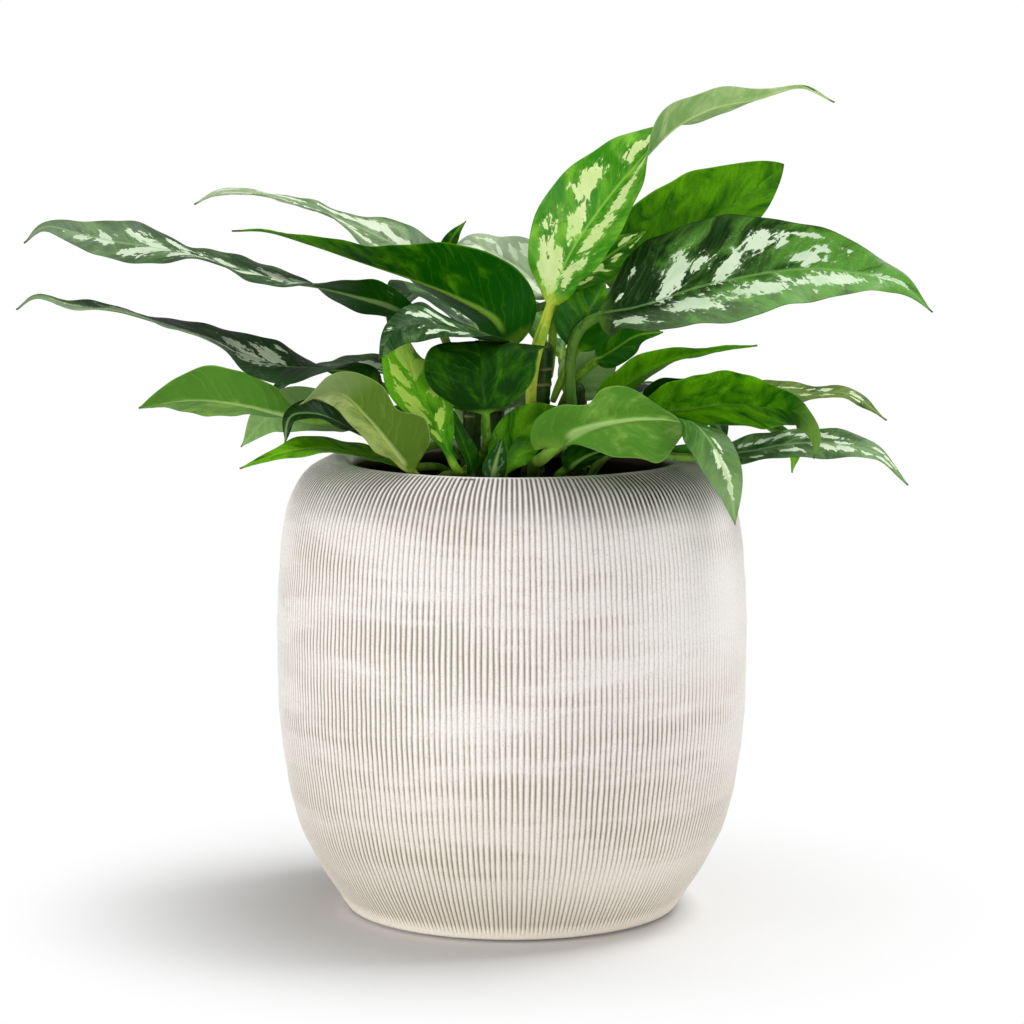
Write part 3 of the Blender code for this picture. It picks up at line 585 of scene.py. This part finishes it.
def pot_clay():
    """Pale clay, darker in its grooves and lower down, with painted leaf shadow on the shoulder, painted shade
    on the inner wall, a band of painted light at the foot, and chips in the lip.
    """
    made, tree = blank_material("ribbed_clay")
    place = object_place(tree)
    height = attribute(tree, "height")
    bands = clouds(place, (9, 9, 48), 3, 0.5)
    blotch = clouds(place, 26, 4, 0.6)
    grain = clouds(place, 1500, 2, 0.7)
    low = rise(height, 0.02, 0.55, 0.62, 0)
    # darker and warmer lower down, and in soft bands
    wash = calc("ADD", rise(bands, 0.4, 0.65, 0, 0.08), low)
    clay = mix(wash, (238, 234, 230), (222, 212, 197))
    clay = mix(rise(blotch, 0.5, 0.75, 0, 0.08), clay, (240, 237, 232))
    # painted light: the foot band made lighter against the shade on its downward face
    clay = mix(rise(height, 0.03, 0.05, 0.8, 0), clay, (248, 239, 226))

    # darker grooves: in crisp bands, and all along the shoulder and near the foot
    rows = clouds(place, (22, 22, 120), 3, 0.6)
    crisp = rise(calc("MULTIPLY_ADD", rows, 0.5, bands), 0.64, 0.86, 0.66, 1)
    shoulder = rise(height, 0.885, 0.955)
    stained = calc("MAXIMUM", shoulder, rise(height, 0.04, 0.36, 1, 0))
    dirt = calc("MULTIPLY", attribute(tree, "groove"), calc("MAXIMUM", crisp, stained))
    clay = mix(rise(dirt, 0.1, 0.9, 0, 0.9), clay, (134, 118, 92))

    # painted shadow of the leaves on the shoulder, on one side, darkest in the grooves and just under the lip
    front = attribute(tree, "front")
    cut = rise(attribute(tree, "cut"), 0.04, 0.42)
    moss = calc("MULTIPLY", cut, calc("MULTIPLY_ADD", front, 0.35, 0.65))
    moss = calc("MAXIMUM", moss, calc("MULTIPLY", front, rise(height, 0.94, 0.99, 0.12, 0.6)))
    uneven = rise(blotch, 0.3, 0.6, 0.75, 1)
    clay = mix(calc("MULTIPLY", calc("MULTIPLY", moss, shoulder), uneven), clay, (44, 37, 24))

    clay = mix(rise(grain, 0.5, 0.7, 0, 0.42), clay, (170, 158, 138))
    # painted shade: the inner wall darkened
    clay = mix(attribute(tree, "inside"), clay, (74, 66, 52))
    for spot in LIP_CHIPS:
        away = node(tree, "VectorMath", {0: place, 1: spot}, operation="DISTANCE").outputs["Value"]
        clay = mix(rise(away, 0.0007, 0.0014, 0.9, 0), clay, (66, 40, 28))
    relief = raised(clouds(place, 420, 3, 0.6), 0.0003, 0.4, raised(grain, 0.0002, 0.5))
    return covered(made, clay, relief, rise(grain, 0.3, 0.7, 0.86, 0.95), 0.25)


def soil_mix():
    made, tree = blank_material("potting_mix")
    place = object_place(tree)
    crumbs = clouds(place, 300, 5, 0.7)
    damp = clouds(place, 30)
    colour = mix(rise(crumbs, 0.35, 0.65), (26, 19, 13), (74, 56, 40))
    colour = mix(rise(damp, 0.4, 0.7, 0, 0.5), colour, (18, 13, 9))
    return covered(made, colour, raised(crumbs, 0.002, 0.9), rise(damp, 0.3, 0.7, 0.75, 0.95))


def bark_bits():
    made, tree = blank_material("bark_bits")
    grain = clouds(object_place(tree), (900, 160, 160), 3, 0.6)
    colour = mix(rise(grain, 0.3, 0.7), (52, 34, 22), (120, 88, 58))
    colour = mix(attribute(tree, "perlite"), colour, (214, 210, 200))
    return covered(made, colour, raised(grain, 0.0006, 0.8), rise(grain, 0.3, 0.7, 0.7, 0.9))


def cane_skin():
    made, tree = blank_material("cane_skin")
    place = object_place(tree)
    streaks = clouds(place, (700, 700, 60), 4, 0.6)
    patches = clouds(place, 120)
    colour = mix(rise(streaks, 0.3, 0.7), (14, 36, 6), (54, 86, 24))
    colour = mix(rise(patches, 0.5, 0.75, 0, 0.5), colour, (88, 84, 44))
    colour = mix(rise(attribute(tree, "scar"), 0.3, 1, 0, 0.7), colour, (150, 140, 96))
    relief = raised(streaks, 0.0004, 0.6)
    return covered(made, colour, relief, rise(patches, 0.3, 0.7, 0.5, 0.65), 0.15)


# ---- making pieces ----


def ramp(value, start, reach):
    """How far value has gone from start over reach, kept between 0 and 1."""
    return np.clip((value - start) / reach, 0, 1)


def hump(value, reach):
    """A soft hump, 1 at zero and fading over reach to both sides."""
    return np.exp(-((value / reach) ** 2))


def distances(path):
    """How far along its path each point lies."""
    return np.concatenate([[0.0], np.cumsum(np.linalg.norm(np.diff(path, axis=0), axis=1))])


def unit(vectors):
    return vectors / np.linalg.norm(vectors, axis=-1, keepdims=True)


def point_values(mesh, **values):
    """Stores numbers, or sets of three, with the points of a mesh for its material to read."""
    for name, held in values.items():
        kind, field = ("FLOAT", "value") if held.ndim == 1 else ("FLOAT_VECTOR", "vector")
        layer = mesh.attributes.new(name, kind, "POINT")
        layer.data.foreach_set(field, np.ravel(held).astype(np.float32))


def read_points(mesh):
    flat = np.empty(len(mesh.vertices) * 3, np.float32)
    mesh.vertices.foreach_get("co", flat)
    return flat.reshape(-1, 3).astype(float)


def write_points(mesh, places):
    mesh.vertices.foreach_set("co", np.ravel(places).astype(np.float32))
    mesh.update()


def mesh_from(bm, name):
    mesh = bpy.data.meshes.new(name)
    bm.to_mesh(mesh)
    bm.free()
    return mesh


def close_up(mesh, sharp=60.0):
    """Merges doubled points, closes the open end and points every face outwards."""
    bm = bmesh.new()
    bm.from_mesh(mesh)
    bmesh.ops.remove_doubles(bm, verts=bm.verts, dist=SAME_POINT)
    open_edges = [e for e in bm.edges if len(e.link_faces) == 1]
    if open_edges:
        bmesh.ops.holes_fill(bm, edges=open_edges, sides=0)
    bmesh.ops.recalc_face_normals(bm, faces=bm.faces)
    bm.to_mesh(mesh)
    bm.free()
    mesh.shade_smooth()
    mesh.set_sharp_from_angle(angle=math.radians(sharp))


def add_object(name, data):
    made = bpy.data.objects.new(name, data)
    bpy.context.scene.collection.objects.link(made)
    return made


def add_piece(name, mesh, materials, slot, *nodes):
    """Adds a finished piece with its materials, in place of the nodes given. The slot is not used."""
    made = add_object(name, mesh)
    for item in materials:
        mesh.materials.append(item)
    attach(made, "root")
    if nodes:
        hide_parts(*nodes)


def sheet_grid(name, around, along):
    """A grid of points: the first index runs around the piece and the second along it."""
    bm = bmesh.new()
    bmesh.ops.create_grid(bm, x_segments=around, y_segments=along, size=0.5)
    mesh = mesh_from(bm, name)
    places = read_points(mesh)
    round_index = np.rint((places[:, 0] + 0.5) * around).astype(int)
    along_index = np.rint((places[:, 1] + 0.5) * along).astype(int)
    return mesh, round_index, along_index


# ---- leaves ----


def cane_point(key, height):
    """The middle of a cane at a height, and its radius there."""
    foot, top, radius, top_radius = CANES[key]
    share = (height - SOIL_TOP) / (top[2] - SOIL_TOP)
    x = foot[0] + (top[0] - foot[0]) * share
    y = foot[1] + (top[1] - foot[1]) * share
    return x, y, radius + (top_radius - radius) * share


def blend(x, low, high, a, b):
    """The point on the line from a at low to b at high that belongs to x."""
    return (high - x) / (high - low) * a + (x - low) / (high - low) * b


def smooth_path(points, steps):
    """A centripetal Catmull-Rom curve through the points, in even steps of length."""
    known = np.array(points, float)
    known = np.vstack([2 * known[0] - known[1], known, 2 * known[-1] - known[-2]])
    knots = np.concatenate([[0.0], np.cumsum(np.sqrt(np.linalg.norm(np.diff(known, axis=0), axis=1)))])
    path = []
    for i in range(1, len(known) - 2):
        p0, p1, p2, p3 = known[i - 1:i + 3]
        t0, t1, t2, t3 = knots[i - 1:i + 3]
        for x in np.linspace(t1, t2, CURVE_POINTS, endpoint=False):
            a1, a2, a3 = blend(x, t0, t1, p0, p1), blend(x, t1, t2, p1, p2), blend(x, t2, t3, p2, p3)
            b1, b2 = blend(x, t0, t2, a1, a2), blend(x, t1, t3, a2, a3)
            path.append(blend(x, t1, t2, b1, b2))
    path = np.array([*path, known[-2]])
    run = distances(path)
    even = np.linspace(0.0, run[-1], steps + 1)
    return np.stack([np.interp(even, run, path[:, k]) for k in range(3)], -1)


def stalk_path(row, blade):
    """The stalk's centre line, from beside its cane to the base of the blade."""
    x, y, radius = cane_point(row["cane"], row["height"])
    centre = np.array([x, y, row["height"]])
    base = blade[0]
    along = unit(blade[4] - base)
    out = np.array([base[0] - x, base[1] - y, 0.0])
    if row["side"] is not None:
        side = math.radians(row["side"])
        out = np.array([math.cos(side), math.sin(side), 0.0])
    out = unit(out)
    start = centre + out * (radius + row["stalk"] + SEAT_GAP)
    rise_way = unit(np.array([0.0, 0.0, STALK_START_LIFT]) + out * STALK_START_LEAN)
    reach = np.linalg.norm(base - start) * STALK_PULL
    k = np.linspace(0.0, 1.0, PATH_STEPS // 2 + 1)[:, None]
    a, b, c, d = start, start + rise_way * reach, base - along * reach, base
    return (1 - k) ** 3 * a + 3 * (1 - k) ** 2 * k * b + 3 * (1 - k) * k * k * c + k ** 3 * d


def blade_width(row, u):
    """Width of the blade at a share u of its length."""
    peak, sharp = row["peak"], row["sharp"]
    swell = sharp * peak / (1 - peak)
    most = peak ** swell * (1 - peak) ** sharp
    return row["width"] * u ** swell * np.clip(1 - u, 0, 1) ** sharp / most


def smoothed(values, reach):
    """Each value averaged with the reach values to either side of it."""
    window = np.ones(2 * reach + 1) / (2 * reach + 1)
    return np.convolve(np.pad(values, reach, mode="edge"), window, "valid")


def leaf_sections(row):
    """Centre, across and up directions and blade share for every step of a leaf."""
    blade = smooth_path(row["midrib"], PATH_STEPS)
    stalk = stalk_path(row, blade)[:-1]
    path = np.vstack([stalk, blade])
    share = np.concatenate([np.zeros(len(stalk)), np.linspace(0.0, 1.0, PATH_STEPS + 1)])
    ahead = unit(np.gradient(path, axis=0))
    turn = math.radians(row["heading"])
    level = np.array([-math.sin(turn), math.cos(turn), 0.0])
    across = unit(level - ahead * (ahead @ level)[:, None])
    up = np.cross(ahead, across)
    places, degrees = np.array(list(row["rolls"].items()), float).T
    roll = np.interp(share, places / 100, degrees)
    roll[:len(stalk)] *= np.linspace(0.0, 1.0, len(stalk))
    roll = np.radians(smoothed(roll, ROLL_SMOOTHING))[:, None]
    side = across * np.cos(roll) + up * np.sin(roll)
    picks = np.concatenate([
        np.linspace(0, len(stalk), STALK_STEPS, endpoint=False).round().astype(int),
        np.arange(len(stalk), len(path)),
    ])
    return path[picks], side[picks], np.cross(ahead, side)[picks], share[picks]


def scattered_patches(seed):
    """Pale patches along both halves of a blade, larger near the midrib."""
    rng = np.random.default_rng(seed)
    found = []
    for side in (-1, 1):
        u = rng.uniform(0.08, 0.16)
        while u < 0.88:
            across = rng.uniform(0.15, 0.62)
            reach = rng.uniform(0.08, 0.26) * (1.1 - across * 0.6)
            found.append((u, side * across, rng.uniform(0.025, 0.07), reach))
            u += rng.uniform(0.06, 0.16)
    return found


def patch_spots(name, seed, u, v, half, length):
    """Soft spots, slanted along the side veins, that the finish turns into jagged pale patches."""
    spots = np.array(PATCHES[name]) / 100 if name in PATCHES else scattered_patches(seed)
    field = np.zeros_like(u)
    for u0, v0, long, wide in spots:
        slant = SWEEP * (np.abs(v) - abs(v0)) * half / length
        away = ((u - u0 - slant) / long) ** 2 + ((v - v0) / wide) ** 2
        field = np.maximum(field, np.exp(-away * 0.8))
    fade = ramp(np.abs(v), 0.93, -0.12) * ramp(u, 0.97, -0.06) * ramp(u, 0, 0.03)
    return 0.12 + 0.62 * field * fade - 0.25 * (1 - fade)


def along_leaf(row, key, u, otherwise=0.0):
    """A value that a leaf's row gives at places along the blade, eased between them."""
    if key not in row:
        return np.full(len(u), otherwise)
    places, values = np.array(list(row[key].items())).T / 100
    return smoothed(np.interp(u, places, values), VALUE_SMOOTHING)


def leaf_profile(row, run, stalk_run, u):
    """Flatness, half width, half thickness and fold at every step of a leaf."""
    flat = ramp(u, 0, FLAT_BY)
    flat = flat * flat * (3 - 2 * flat)
    stalk_half = row["stalk"] * (1 - 0.2 * ramp(u, 0, STALK_BY)) * (u <= 0.5)
    half = ((blade_width(row, u) / 2) ** 4 + stalk_half ** 4) ** 0.25
    sheath = np.exp(-run / row["sheath"])
    wing = row["wing"] * hump(np.clip(run / stalk_run, 0, 1) - 0.72, 0.2) * (u < 0.02)
    half = np.maximum(half, LEAST_HALF_WIDTH) + row["stalk"] * 0.7 * sheath + wing
    thick = (row["stalk"] * (1 - flat) + LEAF_THICK / 2 * flat) * (1 - 0.25 * sheath)
    fold = np.radians(np.interp(u, [0.0, 1.0], row["fold"])) * flat
    return flat, half, thick, fold


def ring_shape(around):
    """For the points of a ring: on which face each is, its place across and its angle on a stalk."""
    turn = around / RING
    upper = turn <= 0.5
    s = np.where(upper, -1 + 4 * turn, 3 - 4 * turn)
    return upper, s * (0.4 + 0.6 * np.abs(s) ** 1.3), s * math.pi / 2


def ruffles(seed, from_base, on_left):
    """The waves of the two margins, each at its own pitch."""
    rng = np.random.default_rng(seed)
    phase = rng.uniform(0, 2 * math.pi, 4)
    pitch = rng.uniform(34.0, 52.0, 2)
    way = from_base * 2 * math.pi
    wave = np.where(on_left, np.sin(way / pitch[0] + phase[0]), np.sin(way / pitch[1] + phase[1]))
    return wave + 0.35 * np.sin(way / (pitch[0] * 0.43) + phase[2] + 2.0 * on_left)


def make_leaf(name, row, seed):
    """One leaf with its stalk: a closed skin round its midrib, with the values that its finish reads."""
    path, side, top, u = leaf_sections(row)
    run = distances(path)
    stalk_run = run[STALK_STEPS]
    length = run[-1] - stalk_run
    flat, half, thick, fold = leaf_profile(row, run, stalk_run, u)
    wide = {half_name: along_leaf(row, half_name, u, 1.0) for half_name in ("left", "right")}
    tones = {tone: along_leaf(row, tone, u) for tone in ("glow", "bleach", "faded_left", "faded_right")}

    # from here on there is one value for each point of the surface
    mesh, around, at = sheet_grid(name, RING, len(u) - 1)
    upper, flat_v, angle = ring_shape(around)
    u, half, thick, fold, flat = u[at], half[at], thick[at], fold[at], flat[at]
    from_base = (run - stalk_run)[at]
    v = np.sin(angle) * (1 - flat) + flat_v * flat
    off = np.abs(v)
    on_left = v > 0
    wider = np.where(on_left, wide["left"][at], wide["right"][at]) - 1
    reach = v * half * (1 + wider * np.clip(off * 3, 0, 1))
    out = np.abs(reach)

    # thickness, the crease above the midrib, the keel below it and the side veins
    level = np.sqrt(np.clip(1 - np.abs(flat_v) ** 5, 0, 1))
    relief = (np.cos(angle) * (1 - flat) + level * flat) * thick * np.where(upper, 1.0, -1.0)
    tip_fade = np.clip(1 - u, 0, 1) ** 0.6
    relief -= upper * hump(reach, CREASE_WIDTH) * (0.45 * flat * tip_fade + 0.25 * thick * (1 - flat))
    near_base = 1 + row["stout"] * hump(u, 0.22)
    keel = hump(reach, KEEL_WIDTH * tip_fade * near_base + 0.25)
    relief -= ~upper * keel * flat * 1.1 * tip_fade * row["stalk"] / 2.0
    vein = np.cos((from_base - SWEEP * out) * 2 * math.pi / VEIN_PITCH)
    relief += VEIN_HEIGHT * vein * flat * np.clip(out / 2.0, 0, 1) * ramp(off, 1, -0.2)

    # fold, ruffled margins and the lobes at the base
    lift = (np.hypot(v, 0.1) - 0.1) * half * np.sin(fold)
    sway = ruffles(seed, from_base, on_left) * row["ruffle"] * off ** 2.2 * flat * ramp(u, 1, -0.2)
    lobe = row["lobe"] * hump(u, 0.07) * off ** 1.5 * np.clip(u / 0.015, 0, 1)
    places = path[at] + side[at] * (reach * np.cos(fold))[:, None]
    places += top[at] * (relief + lift + sway)[:, None] - np.cross(side, top)[at] * lobe[:, None]
    write_points(mesh, places * MM)

    # painted sheen on one half, away from the midrib
    faded = np.where(on_left, tones["faded_left"][at], tones["faded_right"][at]) * ramp(off, 0.12, 0.3)
    ease = 0.5 * np.clip(v * 6, -1, 1)
    # the two halves' values raise or lower the glow on each half: painted light and shade
    left_tone, right_tone = row["halves"]
    point_values(
        mesh,
        blade=np.stack([from_base * MM, reach * MM, np.full_like(u, seed * 3.7)], -1),
        rim=off * flat,
        midrib=keel * flat * (0.35 + 0.65 * tip_fade) * row["keel"],
        patch=patch_spots(name, seed, u, v, half, length) * row["pale"],
        stalk=1 - ramp(u, 0, STALK_BY),
        withered=ramp(u, row["withered"], 0.02) * 0.85,
        # glow: painted light and shade along the blade and on each half
        glow=tones["glow"][at] + left_tone * (0.5 + ease) + right_tone * (0.5 - ease),
        # painted sheen over the blade and on one half
        bleach=tones["bleach"][at] + faded,
        crease=np.full_like(u, row["crease"]),
    )
    turns = [np.mean(around[list(p.vertices)]) / RING for p in mesh.polygons]
    mesh.polygons.foreach_set("material_index", [int(turn >= 0.5) for turn in turns])
    close_up(mesh)
    add_piece(name + "_blade", mesh, LEAF_FACES[row["finish"]], "leaf", name)


# ---- canes, soil and pot ----


def make_cane(key, skin):
    """A ringed cane from just below the soil to a domed top."""
    name = "cane_" + key
    rng = np.random.default_rng(ord(key))
    mesh, ring, along = sheet_grid(name, CANE_RING, CANE_STEPS)
    share = along / CANE_STEPS
    top, top_radius = CANES[key][1], CANES[key][3]
    low = SOIL_TOP - 4.0
    height = low + (top[2] - low) * np.clip(share / DOME_FROM, 0, 1)
    x, y, size = cane_point(key, height)
    joints = np.cumsum(rng.uniform(7.0, 12.0, JOINTS)) + SOIL_TOP - 6.0
    near = np.min(np.abs(height[:, None] - joints[None, :]), axis=1)
    band = hump(near, 0.9)
    dome = ramp(share, DOME_FROM, 0.06)
    size *= (1 + 0.07 * band - 0.03 * hump(near - 2.2, 1.2)) * np.sqrt(np.clip(1 - dome ** 2, 0, 1))
    angle = ring / CANE_RING * 2 * math.pi
    places = [x + size * np.cos(angle), y + size * np.sin(angle), height + dome * top_radius * 1.2]
    write_points(mesh, np.stack(places, -1) * MM)
    scar_side = np.cos(angle - along * 0.11 - ord(key))
    point_values(mesh, scar=band * (0.55 + 0.45 * scar_side))
    close_up(mesh, 50.0)
    add_piece(name + "_stem", mesh, [skin], "cane", name)


def turned(name, profile, steps):
    """A closed body turned about Z from a profile that starts and ends on the axis."""
    bm = bmesh.new()
    points = [bm.verts.new((r * MM, 0.0, z * MM)) for r, z in profile]
    edges = [bm.edges.new(pair) for pair in zip(points, points[1:])]
    bmesh.ops.spin(
        bm, geom=points + edges, cent=(0, 0, 0), axis=(0, 0, 1), angle=2 * math.pi, steps=steps,
        use_merge=True,
    )
    bmesh.ops.remove_doubles(bm, verts=bm.verts, dist=SAME_POINT)
    bmesh.ops.recalc_face_normals(bm, faces=bm.faces)
    mesh = mesh_from(bm, name)
    mesh.shade_smooth()
    return mesh


def steps_of_noise(places, scale, seed):
    return np.array([noise.noise(Vector(p) * scale + Vector((seed, 0, 0))) for p in places])


def make_pot():
    """The turned pot, with fine ribs cut into its wall in uneven rings."""
    outer = smooth_path([(r, 0.0, z) for r, z in POT_LIP + POT_OUTER], OUTER_ROWS)[:, (0, 2)]
    mesh = turned("pot", [(0.0, POT_FLOOR), *POT_INNER, *outer, *POT_FOOT], RIBS * len(GROOVE))
    places = read_points(mesh) / MM
    radius = np.hypot(places[:, 0], places[:, 1])
    height = places[:, 2]
    angle = np.arctan2(places[:, 1], places[:, 0])
    wall_radii, wall_heights = np.array(POT_OUTER[::-1]).T
    wall = np.interp(height, wall_heights, wall_radii)
    foot_fade = ramp(height, 3.5, 3.0)
    shown = (radius > wall - WALL_MARGIN) * foot_fade * ramp(radius, 77.8, 3.5)

    # ribs: deeper and shallower in thrown rings, and shallower on one side, where their grooves also darken
    # less as painted light
    drift = steps_of_noise(places * (1, 1, 3.2), 0.011, 3.0)
    throw = np.sin(height * 0.33 + 1.1) * 0.5 + np.sin(height * 0.145 + 0.4) * 0.5
    depth = RIB_DEPTH * shown * np.clip(0.95 + 0.35 * drift + 0.12 * throw, 0.6, 1.2)
    depth *= 1 - 0.6 * hump(angle - WORN_TURN, 0.7) * hump(height - WORN_HEIGHT, 38)
    ribs_round = angle / (2 * math.pi) * RIBS
    phase = np.mod(np.rint(ribs_round * len(GROOVE)), len(GROOVE))
    groove = np.choose(phase.astype(int), GROOVE)
    rib = np.rint(ribs_round)
    wander = np.sin(rib * 2.4 + height * 0.05) * 0.10 + np.sin(rib * 1.13 + height * 0.16) * 0.07
    ridge = 0.22 * throw * (radius > wall - WALL_MARGIN) * foot_fade * ramp(height, 206, -10)
    new_radius = radius - depth * groove * np.clip((213 - height) / 9 + 0.35, 0, 1) + ridge
    new_angle = angle + wander * shown / np.maximum(radius, 1.0)
    sunk = depth * groove * ramp(height, 205, 7)
    new_places = [new_radius * np.cos(new_angle), new_radius * np.sin(new_angle), height - sunk]
    write_points(mesh, np.stack(new_places, -1) * MM)

    point_values(
        mesh,
        groove=groove * np.clip(depth / RIB_DEPTH, 0, 1.3),
        height=height / POT_HEIGHT,
        cut=groove * shown,
        # where the painted shadow of the leaves falls on the shoulder
        front=hump(angle - MOSSY_TURN, 0.5),
        # the inner wall, which gets painted shade
        inside=(radius < wall - WALL_MARGIN) * (height < 208) * (height > 1.0) * 1.0,
    )
    add_piece("ribbed_pot", mesh, [pot_clay()], "pot", "pot")


def make_soil():
    """The soil that fills the pot, with a lumpy top."""
    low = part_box("soil")[0].z / MM
    wall = [(0.0, low), (69.0, low), (88.0, 33.5), (SOIL_EDGE - 1, 60.0), (SOIL_EDGE, 150.0)]
    top = [(r, SOIL_TOP) for r in np.linspace(SOIL_EDGE - 0.6, 0.0, 56)]
    mesh = turned("soil", [*wall, (SOIL_EDGE, SOIL_TOP - 3), *top], 160)
    places = read_points(mesh) / MM
    radius = np.hypot(places[:, 0], places[:, 1])
    upper = places[:, 2] > SOIL_TOP - 1
    lumps = ((0.05, 1.0, 2.2), (0.21, 9.0, 1.3), (0.6, 5.0, 0.8))
    rough = sum(steps_of_noise(places, scale, seed) * size for scale, seed, size in lumps)
    places[:, 2] += upper * (rough - 1.4) * np.clip((SOIL_EDGE - radius) / 4, 0.2, 1)
    write_points(mesh, places * MM)
    add_piece("potting_soil", mesh, [soil_mix()], "soil", "soil")


def make_soil_bits():
    """Bark chips and a few white perlite grains lying on the soil."""
    rng = np.random.default_rng(11)
    bm = bmesh.new()
    tint = bm.verts.layers.float.new("perlite")
    for _ in range(SOIL_BITS):
        away = BITS_REACH * math.sqrt(rng.uniform(0, 1))
        turn = rng.uniform(0, 2 * math.pi)
        white = rng.uniform() < WHITE_SHARE
        size = rng.uniform(0.8, 1.6) if white else rng.uniform(1.2, 3.2)
        shape = (1.0, 0.9, 0.8, 1.0) if white else (1.5, 0.8, 0.42, 1.0)
        spin = Matrix.Rotation(rng.uniform(0, 6.28), 4, "Z")
        spin @= Matrix.Rotation(rng.uniform(-0.6, 0.6), 4, "X")
        centre = Vector((away * math.cos(turn), away * math.sin(turn), SOIL_TOP - 0.6)) * MM
        place = Matrix.Translation(centre) @ spin @ Matrix.Diagonal(shape)
        made = bmesh.ops.create_icosphere(bm, subdivisions=1, radius=size * MM, matrix=place)
        for vert in made["verts"]:
            vert.co = centre + (vert.co - centre) * (1 + 0.25 * noise.noise(vert.co * 700))
            vert[tint] = float(white)
    mesh = mesh_from(bm, "soil_bits")
    mesh.shade_smooth()
    mesh.set_sharp_from_angle(angle=math.radians(45))
    add_piece("soil_bits", mesh, [bark_bits()], "soil")


# ---- room, light and camera ----


def seen_directly(tree):
    """One for what the camera sees, straight or through something clear, and zero for other rays."""
    path = node(tree, "LightPath", {})
    return calc("MAXIMUM", path.outputs["Is Camera Ray"], path.outputs["Is Transmission Ray"])


def make_floor():
    """A pale floor that keeps the shadow near the pot and runs out to plain white further away."""
    bm = bmesh.new()
    bmesh.ops.create_grid(bm, x_segments=8, y_segments=8, size=9.0)
    mesh = mesh_from(bm, "floor")
    made, tree = blank_material("pale_floor")
    shader = tree.nodes["Principled BSDF"]
    shader.inputs["Base Color"].default_value = (0.78, 0.78, 0.78, 1.0)
    shader.inputs["Roughness"].default_value = 0.9
    shader.inputs["Specular IOR Level"].default_value = 0.0
    away = node(tree, "VectorMath", {0: object_place(tree)}, operation="LENGTH").outputs["Value"]
    plain = calc("MULTIPLY", seen_directly(tree), rise(away, *FLOOR_FADE))
    white = node(tree, "Emission", {"Color": (1, 1, 1, 1), "Strength": 1.0})
    total = node(tree, "MixShader", {0: plain, 1: shader.outputs[0], 2: white.outputs[0]})
    tree.links.new(total.outputs[0], tree.nodes["Material Output"].inputs["Surface"])
    mesh.materials.append(made)
    floor = add_object("floor", mesh)


def make_world():
    world = bpy.data.worlds.new("studio")
    world.use_nodes = True
    tree = world.node_tree
    ground = tree.nodes["Background"]
    tree.links.new(rise(seen_directly(tree), 0.0, 1.0, WORLD_LEVEL, 1.0), ground.inputs["Strength"])
    ground.inputs["Color"].default_value = (1.0, 1.0, 1.0, 1.0)
    bpy.context.scene.world = world


def add_lamp(name, place, size, power):
    data = bpy.data.lights.new(name, "AREA")
    data.shape = "RECTANGLE"
    data.size, data.size_y = size
    data.energy = power
    lamp = add_object(name, data)
    lamp.location = place
    lamp.rotation_euler = (Vector(LAMP_AIM) - Vector(place)).to_track_quat("-Z", "Y").to_euler()


def add_camera():
    data = bpy.data.cameras.new("camera")
    data.sensor_width = 36.0
    data.lens = LENS
    camera = add_object("camera", data)
    camera.location = CAMERA_PLACE
    camera.rotation_euler = (math.radians(90 - CAMERA_DIP), 0.0, 0.0)
    bpy.context.scene.camera = camera


bpy.context.scene.view_settings.view_transform = "Standard"
LEAF_FACES = {finish: (leaf_upper(finish), leaf_under(finish)) for finish in FINISHES}
cane_finish = cane_skin()
make_pot()
make_soil()
make_soil_bits()
for key in CANES:
    make_cane(key, cane_finish)
for number, (name, row) in enumerate(LEAVES.items(), 1):
    make_leaf(name, row, number)
make_floor()
make_world()
for name, setting in LAMPS.items():
    add_lamp(name, *setting)
add_camera()
